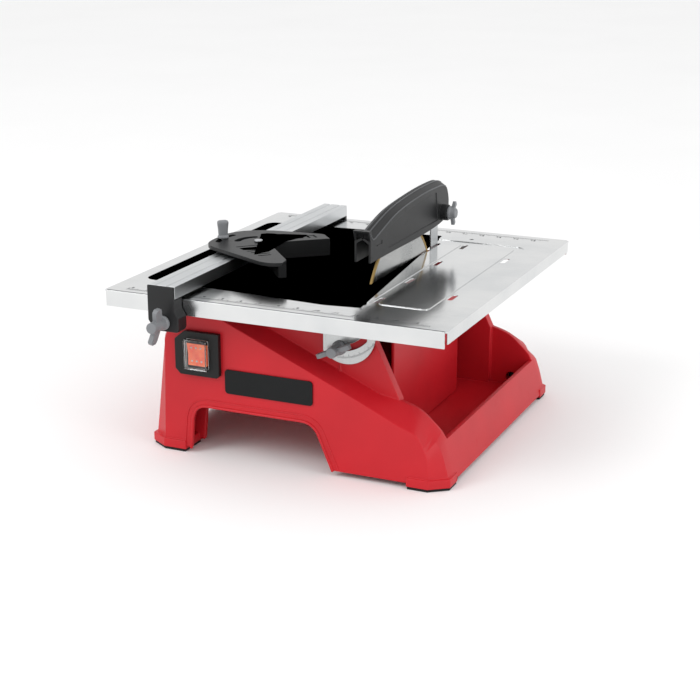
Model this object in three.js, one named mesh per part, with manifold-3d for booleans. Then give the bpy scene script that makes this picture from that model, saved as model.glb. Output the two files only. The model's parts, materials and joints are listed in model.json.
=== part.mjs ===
// Bench-top tile cutter (wet tile saw), built as a three.js scene in millimetres, +Z up.
// X runs along the front edge, Y runs from front to back, and the feet stand on z = 0.
// It needs only the npm packages three and manifold-3d.

import * as THREE from 'three';
import { mergeVertices } from 'three/addons/utils/BufferGeometryUtils.js';
import Module from 'manifold-3d';

// ---------------------------------------------------------------- driving sizes

const GAP = 0.3;                 // resting clearance between touching pieces
const RUN = 0.08;                // radial running clearance of shafts

// Table
const TABLE_WIDTH = 395;
const TABLE_DEPTH = 424;
const TABLE_TOP = 186.4;
const SHEET = 2;
const SKIRT_END = 17.6;          // height of the front and rear skirts
const SKIRT_SIDE = 13.8;         // height of the side skirts
const CORNER_SLIT = 3;           // open slit between two skirts at a corner
const GROOVE = 0.8;              // depth of the pressed channels

// Blade, on the plane x = BLADE_X
const BLADE_X = 57;
const BLADE_Y = 10;
const BLADE_Z = 134;
const BLADE_R = 100;
const BLADE_RIM = 7;
const BLADE_CORE_T = 1.6;
const BLADE_RIM_T = 2.2;
const BORE_R = 12.7;
const SLOT_LEFT = 13.5;          // slot width left of the blade plane
const SLOT_RIGHT = 3.5;
const SLOT_FRONT = -94;          // slot ends, measured from the blade centre
const SLOT_REAR = 124;

// Tilting of the table
const PIVOT_DROP = 9;            // hinge axis below the table top
const BEVEL_R = 40;              // bevel bolt below the hinge axis
const BEVEL_MAX = 45;            // degrees
const BRACKET_Y = 155;           // inner face of a bevel bracket
const BRACKET_T = 2.5;

// Base
const BASE_LEFT = -166.5;
const BASE_RIGHT = 188;
const BASE_LIP = 6;              // lower edge of the walls
const FACE_Y = 180;              // front and rear faces
const RIDGE_Y = 152;             // ridge of the end walls
const WALL = 4;
const END_WALL = 6;
const EAR_T = 12;
const TOWER_TOP = 172;
const TRAY_FLOOR = 16;
const TRAY_LEFT = 46;
const MOTOR_FLOOR = 66;
const RIM_Z = 48.8;
const FOOT_T = 2.7;

// Motor and shaft, along X through the blade centre
const MOTOR_R = 38;
const MOTOR_LEFT = -66;
const MOTOR_RIGHT = 32;
const SHAFT_R = 6;
const FLANGE_R = 23;

// Fence and mitre gauge
const FENCE_X = -116;            // centre line of the fence
const FENCE_W = 32;
const FENCE_LIFT = 3.6;          // gap between fence and table
const FENCE_H = 13.6;
const CLAMP_T = 18;
const GAUGE_Y = -38;
const GAUGE_SWIVEL = 22.5;       // degrees each way
const GAUGE_PLATE = 4.2;
const GAUGE_X = -99;             // swivel pivot of the gauge
const ARM_WALL = 9;              // thickness of the walls along the V

// Guard
const GUARD_W = 19;
const GUARD_WALL = 2.5;
const GUARD_PIVOT_Y = 118;
const GUARD_PIVOT_Z = 229;
const SPLITTER_T = 1.8;

// Switch and name plate on the front face
const SWITCH_X = -100;
const SWITCH_Z = 118;
const SWITCH_W = 54;
const SWITCH_H = 50;
const ROCKER_W = 22;
const ROCKER_H = 27;
const PLATE_W = 105;
const PLATE_H = 27.5;

// Fasteners
const M5 = 2.5;
const M6 = 3;

// ---------------------------------------------------------------- derived places

const HINGE_Z = TABLE_TOP - PIVOT_DROP;
const BEVEL_Z = HINGE_Z - BEVEL_R;
const SHEET_UNDER = TABLE_TOP - SHEET;
const HALF_W = TABLE_WIDTH / 2;
const HALF_D = TABLE_DEPTH / 2;
const FENCE_BOTTOM = TABLE_TOP + FENCE_LIFT;
const FENCE_TOP = FENCE_BOTTOM + FENCE_H;
const SADDLE_TOP = FENCE_TOP + 2.4;
const GAUGE_UNDER = SADDLE_TOP + GAP;
const GAUGE_TOP = GAUGE_UNDER + GAUGE_PLATE;
const RAD = Math.PI / 180;

// ---------------------------------------------------------------- materials

const MATERIALS = {
  red: { color: 0xd0232e, roughness: 0.42, metalness: 0 },
  black: { color: 0x26272a, roughness: 0.5, metalness: 0 },
  grey: { color: 0x7d7f80, roughness: 0.45, metalness: 0 },
  rubber: { color: 0x151515, roughness: 0.85, metalness: 0 },
  stainless: { color: 0xd4d6d7, roughness: 0.22, metalness: 1 },
  zinc: { color: 0xb4b6b6, roughness: 0.35, metalness: 1 },
  dark_steel: { color: 0x6c6e70, roughness: 0.4, metalness: 1 },
  iron: { color: 0x4d4f52, roughness: 0.55, metalness: 0.9 },
  aluminium: { color: 0xc9cbcc, roughness: 0.3, metalness: 1 },
  diamond: { color: 0xb59a5b, roughness: 0.7, metalness: 0.4 },
  orange: { color: 0xf0562e, roughness: 0.3, metalness: 0 },
  clear: { color: 0xe8eef0, roughness: 0.08, metalness: 0, transparent: true, opacity: 0.35 },
  white: { color: 0xe6e4dc, roughness: 0.5, metalness: 0 },
};

// ---------------------------------------------------------------- solids

const wasm = await Module();
wasm.setup();

function solid(geometry) {
  const bare = geometry.clone();
  bare.deleteAttribute('normal');
  bare.deleteAttribute('uv');
  const merged = mergeVertices(bare, 1e-4);
  const vertProperties = new Float32Array(merged.attributes.position.array);
  const triVerts = new Uint32Array(merged.index.array);
  return new wasm.Manifold(new wasm.Mesh({ numProp: 3, vertProperties, triVerts }));
}

function union(...parts) {
  return parts.reduce((sum, part) => sum.add(part));
}

function cut(body, ...tools) {
  return tools.reduce((left, tool) => left.subtract(tool), body);
}

function toGeometry(body) {
  const mesh = body.getMesh();
  const geometry = new THREE.BufferGeometry();
  geometry.setAttribute('position', new THREE.BufferAttribute(new Float32Array(mesh.vertProperties), 3));
  geometry.setIndex(new THREE.BufferAttribute(new Uint32Array(mesh.triVerts), 1));
  geometry.computeVertexNormals();
  return geometry;
}

// A box from its low and high corners.
function box(x0, x1, y0, y1, z0, z1) {
  const geometry = new THREE.BoxGeometry(x1 - x0, y1 - y0, z1 - z0);
  geometry.translate((x0 + x1) / 2, (y0 + y1) / 2, (z0 + z1) / 2);
  return solid(geometry);
}

function toShape(points) {
  return new THREE.Shape(points.map(([u, v]) => new THREE.Vector2(u, v)));
}

function extruded(shape, length) {
  return new THREE.ExtrudeGeometry(shape, { depth: length, bevelEnabled: false, curveSegments: 8 });
}

// An outline in (x, y), raised from z0 to z1.
function raiseZ(shape, z0, z1) {
  const geometry = extruded(shape, z1 - z0);
  geometry.translate(0, 0, z0);
  return solid(geometry);
}

// An outline in (x, z), swept from y0 to y1.
function sweepY(shape, y0, y1) {
  const geometry = extruded(shape, y1 - y0);
  geometry.rotateX(Math.PI / 2);
  geometry.translate(0, y1, 0);
  return solid(geometry);
}

// An outline in (y, z), swept from x0 to x1.
function sweepX(shape, x0, x1) {
  const geometry = extruded(shape, x1 - x0);
  geometry.rotateX(Math.PI / 2);
  geometry.rotateZ(Math.PI / 2);
  geometry.translate(x0, 0, 0);
  return solid(geometry);
}

function drum(radius, length, sides = 24) {
  const geometry = new THREE.CylinderGeometry(radius, radius, length, sides);
  geometry.rotateX(Math.PI / 2);
  return geometry;
}

function rodX(radius, x0, x1, y, z, sides = 24) {
  const geometry = drum(radius, x1 - x0, sides);
  geometry.rotateY(Math.PI / 2);
  geometry.translate((x0 + x1) / 2, y, z);
  return solid(geometry);
}

function rodY(radius, y0, y1, x, z, sides = 16) {
  const geometry = drum(radius, y1 - y0, sides);
  geometry.rotateX(Math.PI / 2);
  geometry.translate(x, (y0 + y1) / 2, z);
  return solid(geometry);
}

function rodZ(radius, z0, z1, x, y, sides = 16) {
  const geometry = drum(radius, z1 - z0, sides);
  geometry.translate(x, y, (z0 + z1) / 2);
  return solid(geometry);
}

function roundRect(u0, u1, v0, v1, r) {
  const shape = new THREE.Shape();
  shape.moveTo(u0 + r, v0);
  shape.lineTo(u1 - r, v0);
  shape.absarc(u1 - r, v0 + r, r, -Math.PI / 2, 0);
  shape.lineTo(u1, v1 - r);
  shape.absarc(u1 - r, v1 - r, r, 0, Math.PI / 2);
  shape.lineTo(u0 + r, v1);
  shape.absarc(u0 + r, v1 - r, r, Math.PI / 2, Math.PI);
  shape.lineTo(u0, v0 + r);
  shape.absarc(u0 + r, v0 + r, r, Math.PI, 1.5 * Math.PI);
  return new THREE.Shape(uniquePoints(shape.getPoints(3)));
}

// Drops a point that repeats the one before it, or the first one at the end.
function uniquePoints(points) {
  const kept = points.filter((p, i) => i === 0 || p.distanceTo(points[i - 1]) > 1e-3);
  if (kept[0].distanceTo(kept[kept.length - 1]) < 1e-3) kept.pop();
  return kept;
}

// A closed body through rings of equal count, each {y, points: [[x, z], ...]}, clockwise from the front.
function loft(rings) {
  const count = rings[0].points.length;
  const position = rings.flatMap(({ y, points }) => points.flatMap(([x, z]) => [x, y, z]));
  const index = [];
  for (let ring = 0; ring + 1 < rings.length; ring += 1) {
    for (let i = 0; i < count; i += 1) {
      const a = ring * count + i;
      const b = ring * count + ((i + 1) % count);
      index.push(a, b, b + count, a, b + count, a + count);
    }
  }
  const capOf = (ring) => {
    const contour = rings[ring].points.map(([x, z]) => new THREE.Vector2(x, z));
    return THREE.ShapeUtils.triangulateShape(contour, []);
  };
  const last = (rings.length - 1) * count;
  capOf(0).forEach(([a, b, c]) => index.push(a, b, c));
  capOf(rings.length - 1).forEach(([a, b, c]) => index.push(last + a, last + c, last + b));
  const geometry = new THREE.BufferGeometry();
  geometry.setAttribute('position', new THREE.Float32BufferAttribute(position, 3));
  geometry.setIndex(index);
  return solid(geometry);
}

function mirrorY(body) {
  return body.mirror([0, 1, 0]);
}

// ---------------------------------------------------------------- the group

const group = new THREE.Group();

function add(name, body, material) {
  const mesh = new THREE.Mesh(toGeometry(body), new THREE.MeshStandardMaterial(MATERIALS[material]));
  mesh.name = name;
  group.add(mesh);
}

// ---------------------------------------------------------------- base housing

// Left outer face: the wall leans in towards the top.
function leftWallX(z) {
  const LEAN = 0.126;
  return BASE_LEFT + LEAN * (z - BASE_LIP);
}

const SLOPE = 0.437;             // fall of the sloping band along X
const BAND_RISE = 7;             // rise of the band from the face to the ridge
const FACE_CORNER = 19.5;        // set-back of the front face from the left wall

function bandZ(x) {
  return 127.5 - SLOPE * x;
}

// Outline of the front face, and of the ridge behind it, from lower left round to lower right.
function faceOutline(inset, floor) {
  const left = leftWallX(floor) + FACE_CORNER + inset;
  return [
    [left, floor],
    [left + 4, 128],
    [left + 9, 142 - inset],
    [-118 + inset, 160 - inset],
    [-75, 160 - inset],
    [90, bandZ(90) - inset],
    [136 - inset, 67 - inset],
    [154 - inset, 60 - inset],
    [162.4 - inset, 46 - inset / 2],
    [166.9 - inset, 31],
    [168 - inset, floor],
  ];
}

function ridgeOutline(inset, floor) {
  return [
    [leftWallX(floor) + inset, floor],
    [leftWallX(128) + inset, 128],
    [leftWallX(150) + inset, 150 - inset / 2],
    [leftWallX(168) + inset, 168 - inset],
    [-77, 168 - inset],
    [102, bandZ(102) + BAND_RISE - inset],
    [124, 86 - inset],
    [145 - inset, 79 - inset],
    [160 - inset, 67.5 - inset],
    [BASE_RIGHT - 12 - inset, RIM_Z],
    [BASE_RIGHT - inset, floor],
  ];
}

// The outline with its right-hand corners, from the fifth point on, drawn as one smooth curve.
function eased(points) {
  const FIRST_BENT = 5;
  const bend = new THREE.SplineCurve(points.slice(FIRST_BENT).map(([x, z]) => new THREE.Vector2(x, z)));
  const samples = (points.length - FIRST_BENT - 1) * 3;
  return [...points.slice(0, FIRST_BENT), ...bend.getPoints(samples).map(({ x, y }) => [x, y])];
}

// Halfway ring, already as wide as the ridge low down, which makes the corner chamfers.
function halfOutline() {
  const face = faceOutline(0, BASE_LIP);
  const ridge = ridgeOutline(0, BASE_LIP);
  const last = face.length - 1;
  return face.map(([x, z], i) => {
    const share = i <= 1 || i >= last - 1 ? 0.95 : 0.5;
    return [x + (ridge[i][0] - x) * share, z + (ridge[i][1] - z) * (i >= last - 1 ? 0.8 : 0.5)];
  });
}

function lowBody() {
  const face = eased(faceOutline(0, BASE_LIP));
  const ridge = eased(ridgeOutline(0, BASE_LIP));
  const half = eased(halfOutline());
  return loft([
    { y: -FACE_Y, points: face },
    { y: -(FACE_Y + RIDGE_Y) / 2, points: half },
    { y: -RIDGE_Y, points: ridge },
    { y: RIDGE_Y, points: ridge },
    { y: (FACE_Y + RIDGE_Y) / 2, points: half },
    { y: FACE_Y, points: face },
  ]);
}

// The tall part: the box round the motor, and the two ears that carry the table.
function towerBody() {
  const earTop = HINGE_Z + 5.5;
  return sweepY(toShape([
    [BASE_LEFT, BASE_LIP],
    [124, BASE_LIP],
    [124, 86],
    [96.5, HINGE_Z - 34],
    [BLADE_X + 4, earTop],
    [BLADE_X - 6, earTop],
    [BLADE_X - 16, TOWER_TOP],
    [leftWallX(TOWER_TOP), TOWER_TOP],
  ]), -RIDGE_Y, RIDGE_Y);
}

function archCut(y0, y1) {
  const arch = new THREE.Shape();
  arch.moveTo(-113, -1);
  arch.lineTo(-109.5, 38);
  arch.quadraticCurveTo(-108, 56, -92, 56);
  arch.lineTo(22, 56);
  arch.quadraticCurveTo(37, 56, 42.5, 41);
  arch.lineTo(60.5, -1);
  return sweepY(new THREE.Shape(uniquePoints(arch.getPoints(6))), y0, y1);
}

function skirtCavity() {
  const low = -1;
  return loft([
    { y: -(FACE_Y - WALL), points: eased(faceOutline(WALL, low)) },
    { y: -RIDGE_Y, points: eased(ridgeOutline(WALL + 1, low)) },
  ]);
}

function trayCut() {
  const inner = END_WALL;
  const floorR = BASE_RIGHT - WALL - 2;
  const outline = [
    [124, TRAY_FLOOR],
    [floorR - 4, TRAY_FLOOR],
    [floorR - 1, TRAY_FLOOR + 4],
    [BASE_RIGHT - 12 - WALL - 1, RIM_Z],
    [BASE_RIGHT + 20, RIM_Z],
    [BASE_RIGHT + 20, 300],
    [124, 300],
  ];
  const wide = sweepY(toShape(outline), -(RIDGE_Y - inner), RIDGE_Y - inner);
  const narrow = RIDGE_Y - EAR_T;
  return union(wide, box(TRAY_LEFT, 125, -narrow, narrow, TRAY_FLOOR, 300));
}

function motorRoomCut() {
  const inner = RIDGE_Y - END_WALL;
  const outline = [
    [leftWallX(MOTOR_FLOOR) + WALL, MOTOR_FLOOR],
    [TRAY_LEFT - END_WALL, MOTOR_FLOOR],
    [TRAY_LEFT - END_WALL, 300],
    [leftWallX(300) + WALL, 300],
  ];
  return cut(
    sweepY(toShape(outline), -inner, inner),
    box(20, 60, -inner - 1, -(RIDGE_Y - EAR_T), 60, 301),
    box(20, 60, RIDGE_Y - EAR_T, inner + 1, 60, 301),
  );
}

function undersideCut() {
  const inner = RIDGE_Y - END_WALL;
  const roof = MOTOR_FLOOR - WALL;
  const left = [
    [leftWallX(-1) + WALL, -1],
    [TRAY_LEFT - WALL, -1],
    [TRAY_LEFT - WALL, roof],
    [leftWallX(roof) + WALL, roof],
  ];
  return union(
    sweepY(toShape(left), -inner, inner),
    box(TRAY_LEFT - WALL - 1, BASE_RIGHT - WALL, -inner, inner, -1, TRAY_FLOOR - WALL),
  );
}

const FOOT_DEPTH = 37;

// Plan outlines of the front feet; the rear feet mirror them.
function footOutline(side, inset) {
  const y0 = -(FACE_Y + 2.4) + inset;
  const y1 = y0 + FOOT_DEPTH - 2 * inset;
  if (side === 'right') {
    return toShape([
      [144 + inset, y0],
      [168.3 - inset / 2, y0],
      [BASE_RIGHT + 0.3 - inset, y0 + 14.8],
      [BASE_RIGHT + 0.3 - inset, y1],
      [144 + inset, y1],
    ]);
  }
  return toShape([
    [-119.6 - inset, y0],
    [-119.6 - inset, y1],
    [BASE_LEFT - 1.5 + inset, y1],
    [BASE_LEFT - 1.5 + inset, y0 + 13],
    [-147 + inset / 2, y0],
  ]);
}

function footBlocks() {
  const blocks = ['left', 'right'].map((side) => raiseZ(footOutline(side, 0), FOOT_T + GAP, 13));
  const front = union(...blocks);
  return union(front, mirrorY(front));
}

const DRAIN_X = 150;
const DRAIN_Z = 24;
const DRAIN_R = 7;
const GLAND_X = -108;
const GLAND_Z = 92;
const REST_X = -132;
const REST_Y = 120;

function restPosts() {
  const post = (y) => box(leftWallX(140) + 1, REST_X + 8, y - 8, y + 8, 140, TABLE_TOP - 10);
  return union(post(-REST_Y), post(REST_Y));
}

// The front and rear bores that the hinge screws and bevel bolts pass through.
function earBores() {
  const y0 = -RIDGE_Y - 1;
  const y1 = -(RIDGE_Y - EAR_T) + 1;
  const front = union(
    rodY(M5 + RUN, y0, y1, BLADE_X, HINGE_Z),
    rodY(M6 + RUN, y0, y1, BLADE_X, BEVEL_Z),
  );
  return union(front, mirrorY(front));
}

function pointer() {
  const tip = BEVEL_Z - 20;
  const outline = toShape([[BLADE_X - 4, tip - 12], [BLADE_X + 1, tip - 12], [BLADE_X - 1.5, tip]]);
  return union(sweepY(outline, -RIDGE_Y - 1.5, -RIDGE_Y + 1));
}

function makeBase() {
  let body = union(lowBody(), towerBody());
  const skirt = skirtCavity();
  body = cut(body, trayCut(), motorRoomCut(), undersideCut(), skirt, mirrorY(skirt));
  body = union(body, rodY(DRAIN_R + 5, RIDGE_Y - 2, FACE_Y - 1, DRAIN_X, DRAIN_Z));
  body = union(body, footBlocks(), restPosts(), pointer());
  body = cut(body, archCut(-FACE_Y - 5, -RIDGE_Y + END_WALL + 1), archCut(RIDGE_Y - END_WALL - 1, FACE_Y + 5));
  body = cut(
    body,
    earBores(),
    rodY(DRAIN_R, RIDGE_Y - END_WALL - 1, FACE_Y + 1, DRAIN_X, DRAIN_Z),
    rodY(8, RIDGE_Y - END_WALL - 1, FACE_Y + 1, GLAND_X, GLAND_Z),
    rodX(12, TRAY_LEFT - END_WALL - 1, TRAY_LEFT + 1, BLADE_Y, BLADE_Z),
    box(SWITCH_X - 14, SWITCH_X + 16, -FACE_Y - 1, -RIDGE_Y + END_WALL + 1, SWITCH_Z - 16.5, SWITCH_Z + 17),
  );
  add('base_housing', body, 'red');

  for (const side of ['left', 'right']) {
    const pad = raiseZ(footOutline(side, 1), 0, FOOT_T);
    add(`foot_front_${side}`, pad, 'rubber');
    add(`foot_rear_${side}`, mirrorY(pad), 'rubber');
  }

  for (const [name, y] of [['front', -REST_Y], ['rear', REST_Y]]) {
    add(`table_rest_${name}`, rodZ(6, TABLE_TOP - 10 + GAP, SHEET_UNDER - GAP, REST_X, y), 'rubber');
  }
}

// ---------------------------------------------------------------- splash shield, drain, gland

const SHIELD_X = 98;
const SHIELD_TOP = 141;

function makeShield() {
  const front = -104;
  const rear = 112;
  const turn = 20;
  const plan = new THREE.Shape();
  plan.moveTo(SHIELD_X - WALL, front);
  plan.lineTo(SHIELD_X, front);
  plan.lineTo(SHIELD_X, rear - turn);
  plan.absarc(SHIELD_X - turn, rear - turn, turn, 0, Math.PI / 2);
  plan.lineTo(SHIELD_X - turn - 5, rear);
  plan.lineTo(SHIELD_X - turn - 5, rear - WALL);
  plan.lineTo(SHIELD_X - turn, rear - WALL);
  plan.absarc(SHIELD_X - turn, rear - turn, turn - WALL, Math.PI / 2, 0, true);
  const wall = raiseZ(new THREE.Shape(uniquePoints(plan.getPoints(5))), TRAY_FLOOR + GAP, SHIELD_TOP);
  const foot = box(SHIELD_X - 20, SHIELD_X - WALL + 1, -90, 70, TRAY_FLOOR + GAP, TRAY_FLOOR + 4);
  const holes = [-70, 50].map((y) => rodZ(M5 + RUN, TRAY_FLOOR - 1, TRAY_FLOOR + 8, SHIELD_X - 12, y, 12));
  add('splash_shield', cut(union(wall, foot), ...holes), 'red');
}

function makeDrain() {
  const stem = rodY(DRAIN_R - GAP, FACE_Y - 22, FACE_Y + 1, DRAIN_X, DRAIN_Z);
  const head = rodY(DRAIN_R + 3, FACE_Y + GAP, FACE_Y + 4.5, DRAIN_X, DRAIN_Z, 20);
  const tab = box(DRAIN_X - 1.5, DRAIN_X + 1.5, FACE_Y + 4, FACE_Y + 12, DRAIN_Z - 7, DRAIN_Z + 7);
  add('drain_plug', union(stem, head, tab), 'rubber');
}

function makeGland() {
  const nut = rodY(12, FACE_Y + GAP, FACE_Y + 6, GLAND_X, GLAND_Z, 6);
  const neck = rodY(9, FACE_Y + 5, FACE_Y + 14, GLAND_X, GLAND_Z, 16);
  const stem = rodY(8 - GAP, FACE_Y - 10, FACE_Y + 2, GLAND_X, GLAND_Z, 16);
  const bore = rodY(4, FACE_Y - 12, FACE_Y + 16, GLAND_X, GLAND_Z, 16);
  add('cord_gland', cut(union(nut, neck, stem), bore), 'black');
}

// ---------------------------------------------------------------- switch and name plate

function makeSwitch() {
  const back = -FACE_Y - GAP;
  const front = back - 6;
  const rockX = SWITCH_X + 1;
  const rockZ = SWITCH_Z;
  const left = SWITCH_X - SWITCH_W / 2;
  const right = SWITCH_X + SWITCH_W / 2;
  const low = SWITCH_Z - SWITCH_H / 2;
  const high = SWITCH_Z + SWITCH_H / 2;
  const frame = sweepY(toShape([
    [left, low + 6], [left + 6, low], [right - 3, low], [right, low + 3],
    [right, high], [left + 12, high], [left, high - 10],
  ]), front, back);
  const well = box(rockX - 13, rockX + 13, back - 1, back + 22, rockZ - 16, rockZ + 16);
  const inside = box(rockX - ROCKER_W / 2 - 0.6, rockX + ROCKER_W / 2 + 0.6,
    front - 1, back + 20, rockZ - ROCKER_H / 2 - 1.4, rockZ + ROCKER_H / 2 + 1.4);
  add('switch_frame', cut(union(frame, well), inside), 'black');

  const pinY = front + 3.3;
  const face = toShape([
    [front - 3.2, rockZ + ROCKER_H / 2 - 0.5], [front - 0.6, rockZ], [front - 0.9, rockZ - ROCKER_H / 2 + 0.5],
    [pinY + 4, rockZ - 9], [pinY + 9, rockZ], [pinY + 4, rockZ + 9],
  ]);
  add('switch_rocker', sweepX(face, rockX - ROCKER_W / 2, rockX + ROCKER_W / 2), 'orange');

  const outer = { x: 14, z: 17 };
  const bootBack = front - GAP;
  const bootFront = front - 6;
  const shell = box(rockX - outer.x, rockX + outer.x, bootFront, bootBack, rockZ - outer.z, rockZ + outer.z);
  const hollow = box(rockX - outer.x + 1.5, rockX + outer.x - 1.5, bootFront + 1.2, bootBack + 1,
    rockZ - outer.z + 1.5, rockZ + outer.z - 1.5);
  add('switch_boot', cut(shell, hollow), 'clear');
}

function makeNamePlate() {
  const centreX = -16;
  const centreZ = 90;
  const shape = roundRect(centreX - PLATE_W / 2, centreX + PLATE_W / 2,
    centreZ - PLATE_H / 2, centreZ + PLATE_H / 2, 4);
  add('name_plate', sweepY(shape, -FACE_Y - GAP - 1.5, -FACE_Y - GAP), 'black');
}

// ---------------------------------------------------------------- motor, shaft and blade

const BEARING_R = 11;
const BEARING_W = 8;

function makeMotor() {
  const can = cut(
    rodX(MOTOR_R, MOTOR_LEFT, MOTOR_RIGHT, BLADE_Y, BLADE_Z, 32),
    rodX(MOTOR_R - 3, MOTOR_LEFT + 4, MOTOR_RIGHT - 4, BLADE_Y, BLADE_Z, 32),
    rodX(BEARING_R + GAP, MOTOR_RIGHT - 5, MOTOR_RIGHT + 1, BLADE_Y, BLADE_Z, 24),
    rodX(BEARING_R + GAP, MOTOR_LEFT - 1, MOTOR_LEFT + 5, BLADE_Y, BLADE_Z, 24),
  );
  add('motor_can', can, 'dark_steel');

  const stator = cut(
    rodX(MOTOR_R - 3 - GAP, MOTOR_LEFT + 22, MOTOR_RIGHT - 22, BLADE_Y, BLADE_Z, 32),
    rodX(21, MOTOR_LEFT + 20, MOTOR_RIGHT - 20, BLADE_Y, BLADE_Z, 24),
  );
  add('motor_stator', stator, 'iron');
  const rotor = cut(
    rodX(20.4, MOTOR_LEFT + 22, MOTOR_RIGHT - 22, BLADE_Y, BLADE_Z, 24),
    rodX(SHAFT_R + GAP, MOTOR_LEFT + 20, MOTOR_RIGHT - 20, BLADE_Y, BLADE_Z, 20),
  );
  add('motor_rotor', rotor, 'iron');

  const bearing = (x0) => cut(
    rodX(BEARING_R, x0, x0 + BEARING_W, BLADE_Y, BLADE_Z, 24),
    rodX(SHAFT_R + RUN, x0 - 1, x0 + BEARING_W + 1, BLADE_Y, BLADE_Z, 20),
  );
  add('bearing_rear', bearing(MOTOR_LEFT), 'zinc');
  add('bearing_front', bearing(MOTOR_RIGHT - BEARING_W), 'zinc');

  const plateX = MOTOR_RIGHT + GAP;
  const plate = box(plateX, plateX + 4, BLADE_Y - 48, BLADE_Y + 48, MOTOR_FLOOR + GAP, BLADE_Z + 34);
  const shelf = box(MOTOR_LEFT + 10, plateX + 1, BLADE_Y - 48, BLADE_Y + 48, MOTOR_FLOOR + GAP, MOTOR_FLOOR + 4);
  const screwSpots = [[-40, -30], [-40, 30], [40, -30], [40, 30]];
  const shelfSpots = [[MOTOR_LEFT + 20, -40], [MOTOR_LEFT + 20, 40], [MOTOR_RIGHT - 12, -40], [MOTOR_RIGHT - 12, 40]];
  const holes = [
    rodX(BEARING_R + 4, plateX - 1, plateX + 5, BLADE_Y, BLADE_Z, 24),
    ...screwSpots.map(([dy, dz]) => rodX(M5 + RUN, plateX - 1, plateX + 5, BLADE_Y + dy, BLADE_Z + dz, 12)),
    ...shelfSpots.map(([x, dy]) => rodZ(M5 + RUN, MOTOR_FLOOR - 1, MOTOR_FLOOR + 5, x, BLADE_Y + dy, 12)),
  ];
  add('motor_bracket', cut(union(plate, shelf), ...holes), 'zinc');

  add('run_capacitor', rodX(15, -60, -5, 88, MOTOR_FLOOR + 16, 20), 'white');
  const clip = cut(
    box(-38, -28, 70, 106, MOTOR_FLOOR + GAP, MOTOR_FLOOR + 34),
    rodX(15 + GAP, -40, -26, 88, MOTOR_FLOOR + 16, 20),
  );
  add('capacitor_clip', clip, 'zinc');
}

function makeArbor() {
  const coreHalf = BLADE_CORE_T / 2;
  const rimHalf = BLADE_RIM_T / 2;
  const innerX = BLADE_X - coreHalf - GAP;
  const outerX = BLADE_X + coreHalf + GAP;
  const shaft = union(
    rodX(SHAFT_R, MOTOR_LEFT - 4, BLADE_X + 19, BLADE_Y, BLADE_Z, 20),
    rodX(9, MOTOR_RIGHT + 1, innerX - 7, BLADE_Y, BLADE_Z, 20),
  );
  add('arbor_shaft', shaft, 'zinc');
  const flange = (x0, x1) => cut(
    rodX(FLANGE_R, x0, x1, BLADE_Y, BLADE_Z, 28),
    rodX(SHAFT_R + RUN, x0 - 1, x1 + 1, BLADE_Y, BLADE_Z, 20),
  );
  const hub = rodX(BORE_R - RUN, innerX - 1, BLADE_X + coreHalf, BLADE_Y, BLADE_Z, 24);
  const hubBore = rodX(SHAFT_R + RUN, innerX - 2, BLADE_X + coreHalf + 1, BLADE_Y, BLADE_Z, 20);
  add('inner_flange', union(flange(innerX - 6, innerX), cut(hub, hubBore)), 'dark_steel');
  add('outer_flange', flange(outerX, outerX + 5), 'dark_steel');
  const nut = cut(
    rodX(11, outerX + 5 + GAP, outerX + 14, BLADE_Y, BLADE_Z, 6),
    rodX(SHAFT_R + RUN, outerX, outerX + 20, BLADE_Y, BLADE_Z, 20),
  );
  add('arbor_nut', nut, 'zinc');

  const seat = BLADE_R - BLADE_RIM;
  const core = cut(
    rodX(seat - GAP, BLADE_X - coreHalf, BLADE_X + coreHalf, BLADE_Y, BLADE_Z, 56),
    rodX(BORE_R, BLADE_X - 2, BLADE_X + 2, BLADE_Y, BLADE_Z, 24),
  );
  add('blade', core, 'dark_steel');
  const rim = cut(
    rodX(BLADE_R, BLADE_X - rimHalf, BLADE_X + rimHalf, BLADE_Y, BLADE_Z, 56),
    rodX(seat, BLADE_X - 2, BLADE_X + 2, BLADE_Y, BLADE_Z, 56),
  );
  add('blade_rim', rim, 'diamond');
}

// ---------------------------------------------------------------- splitter and guard

const SPLITTER_Y0 = 106;
const SPLITTER_Y1 = 128;
const SPLITTER_FOOT = 96;

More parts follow.
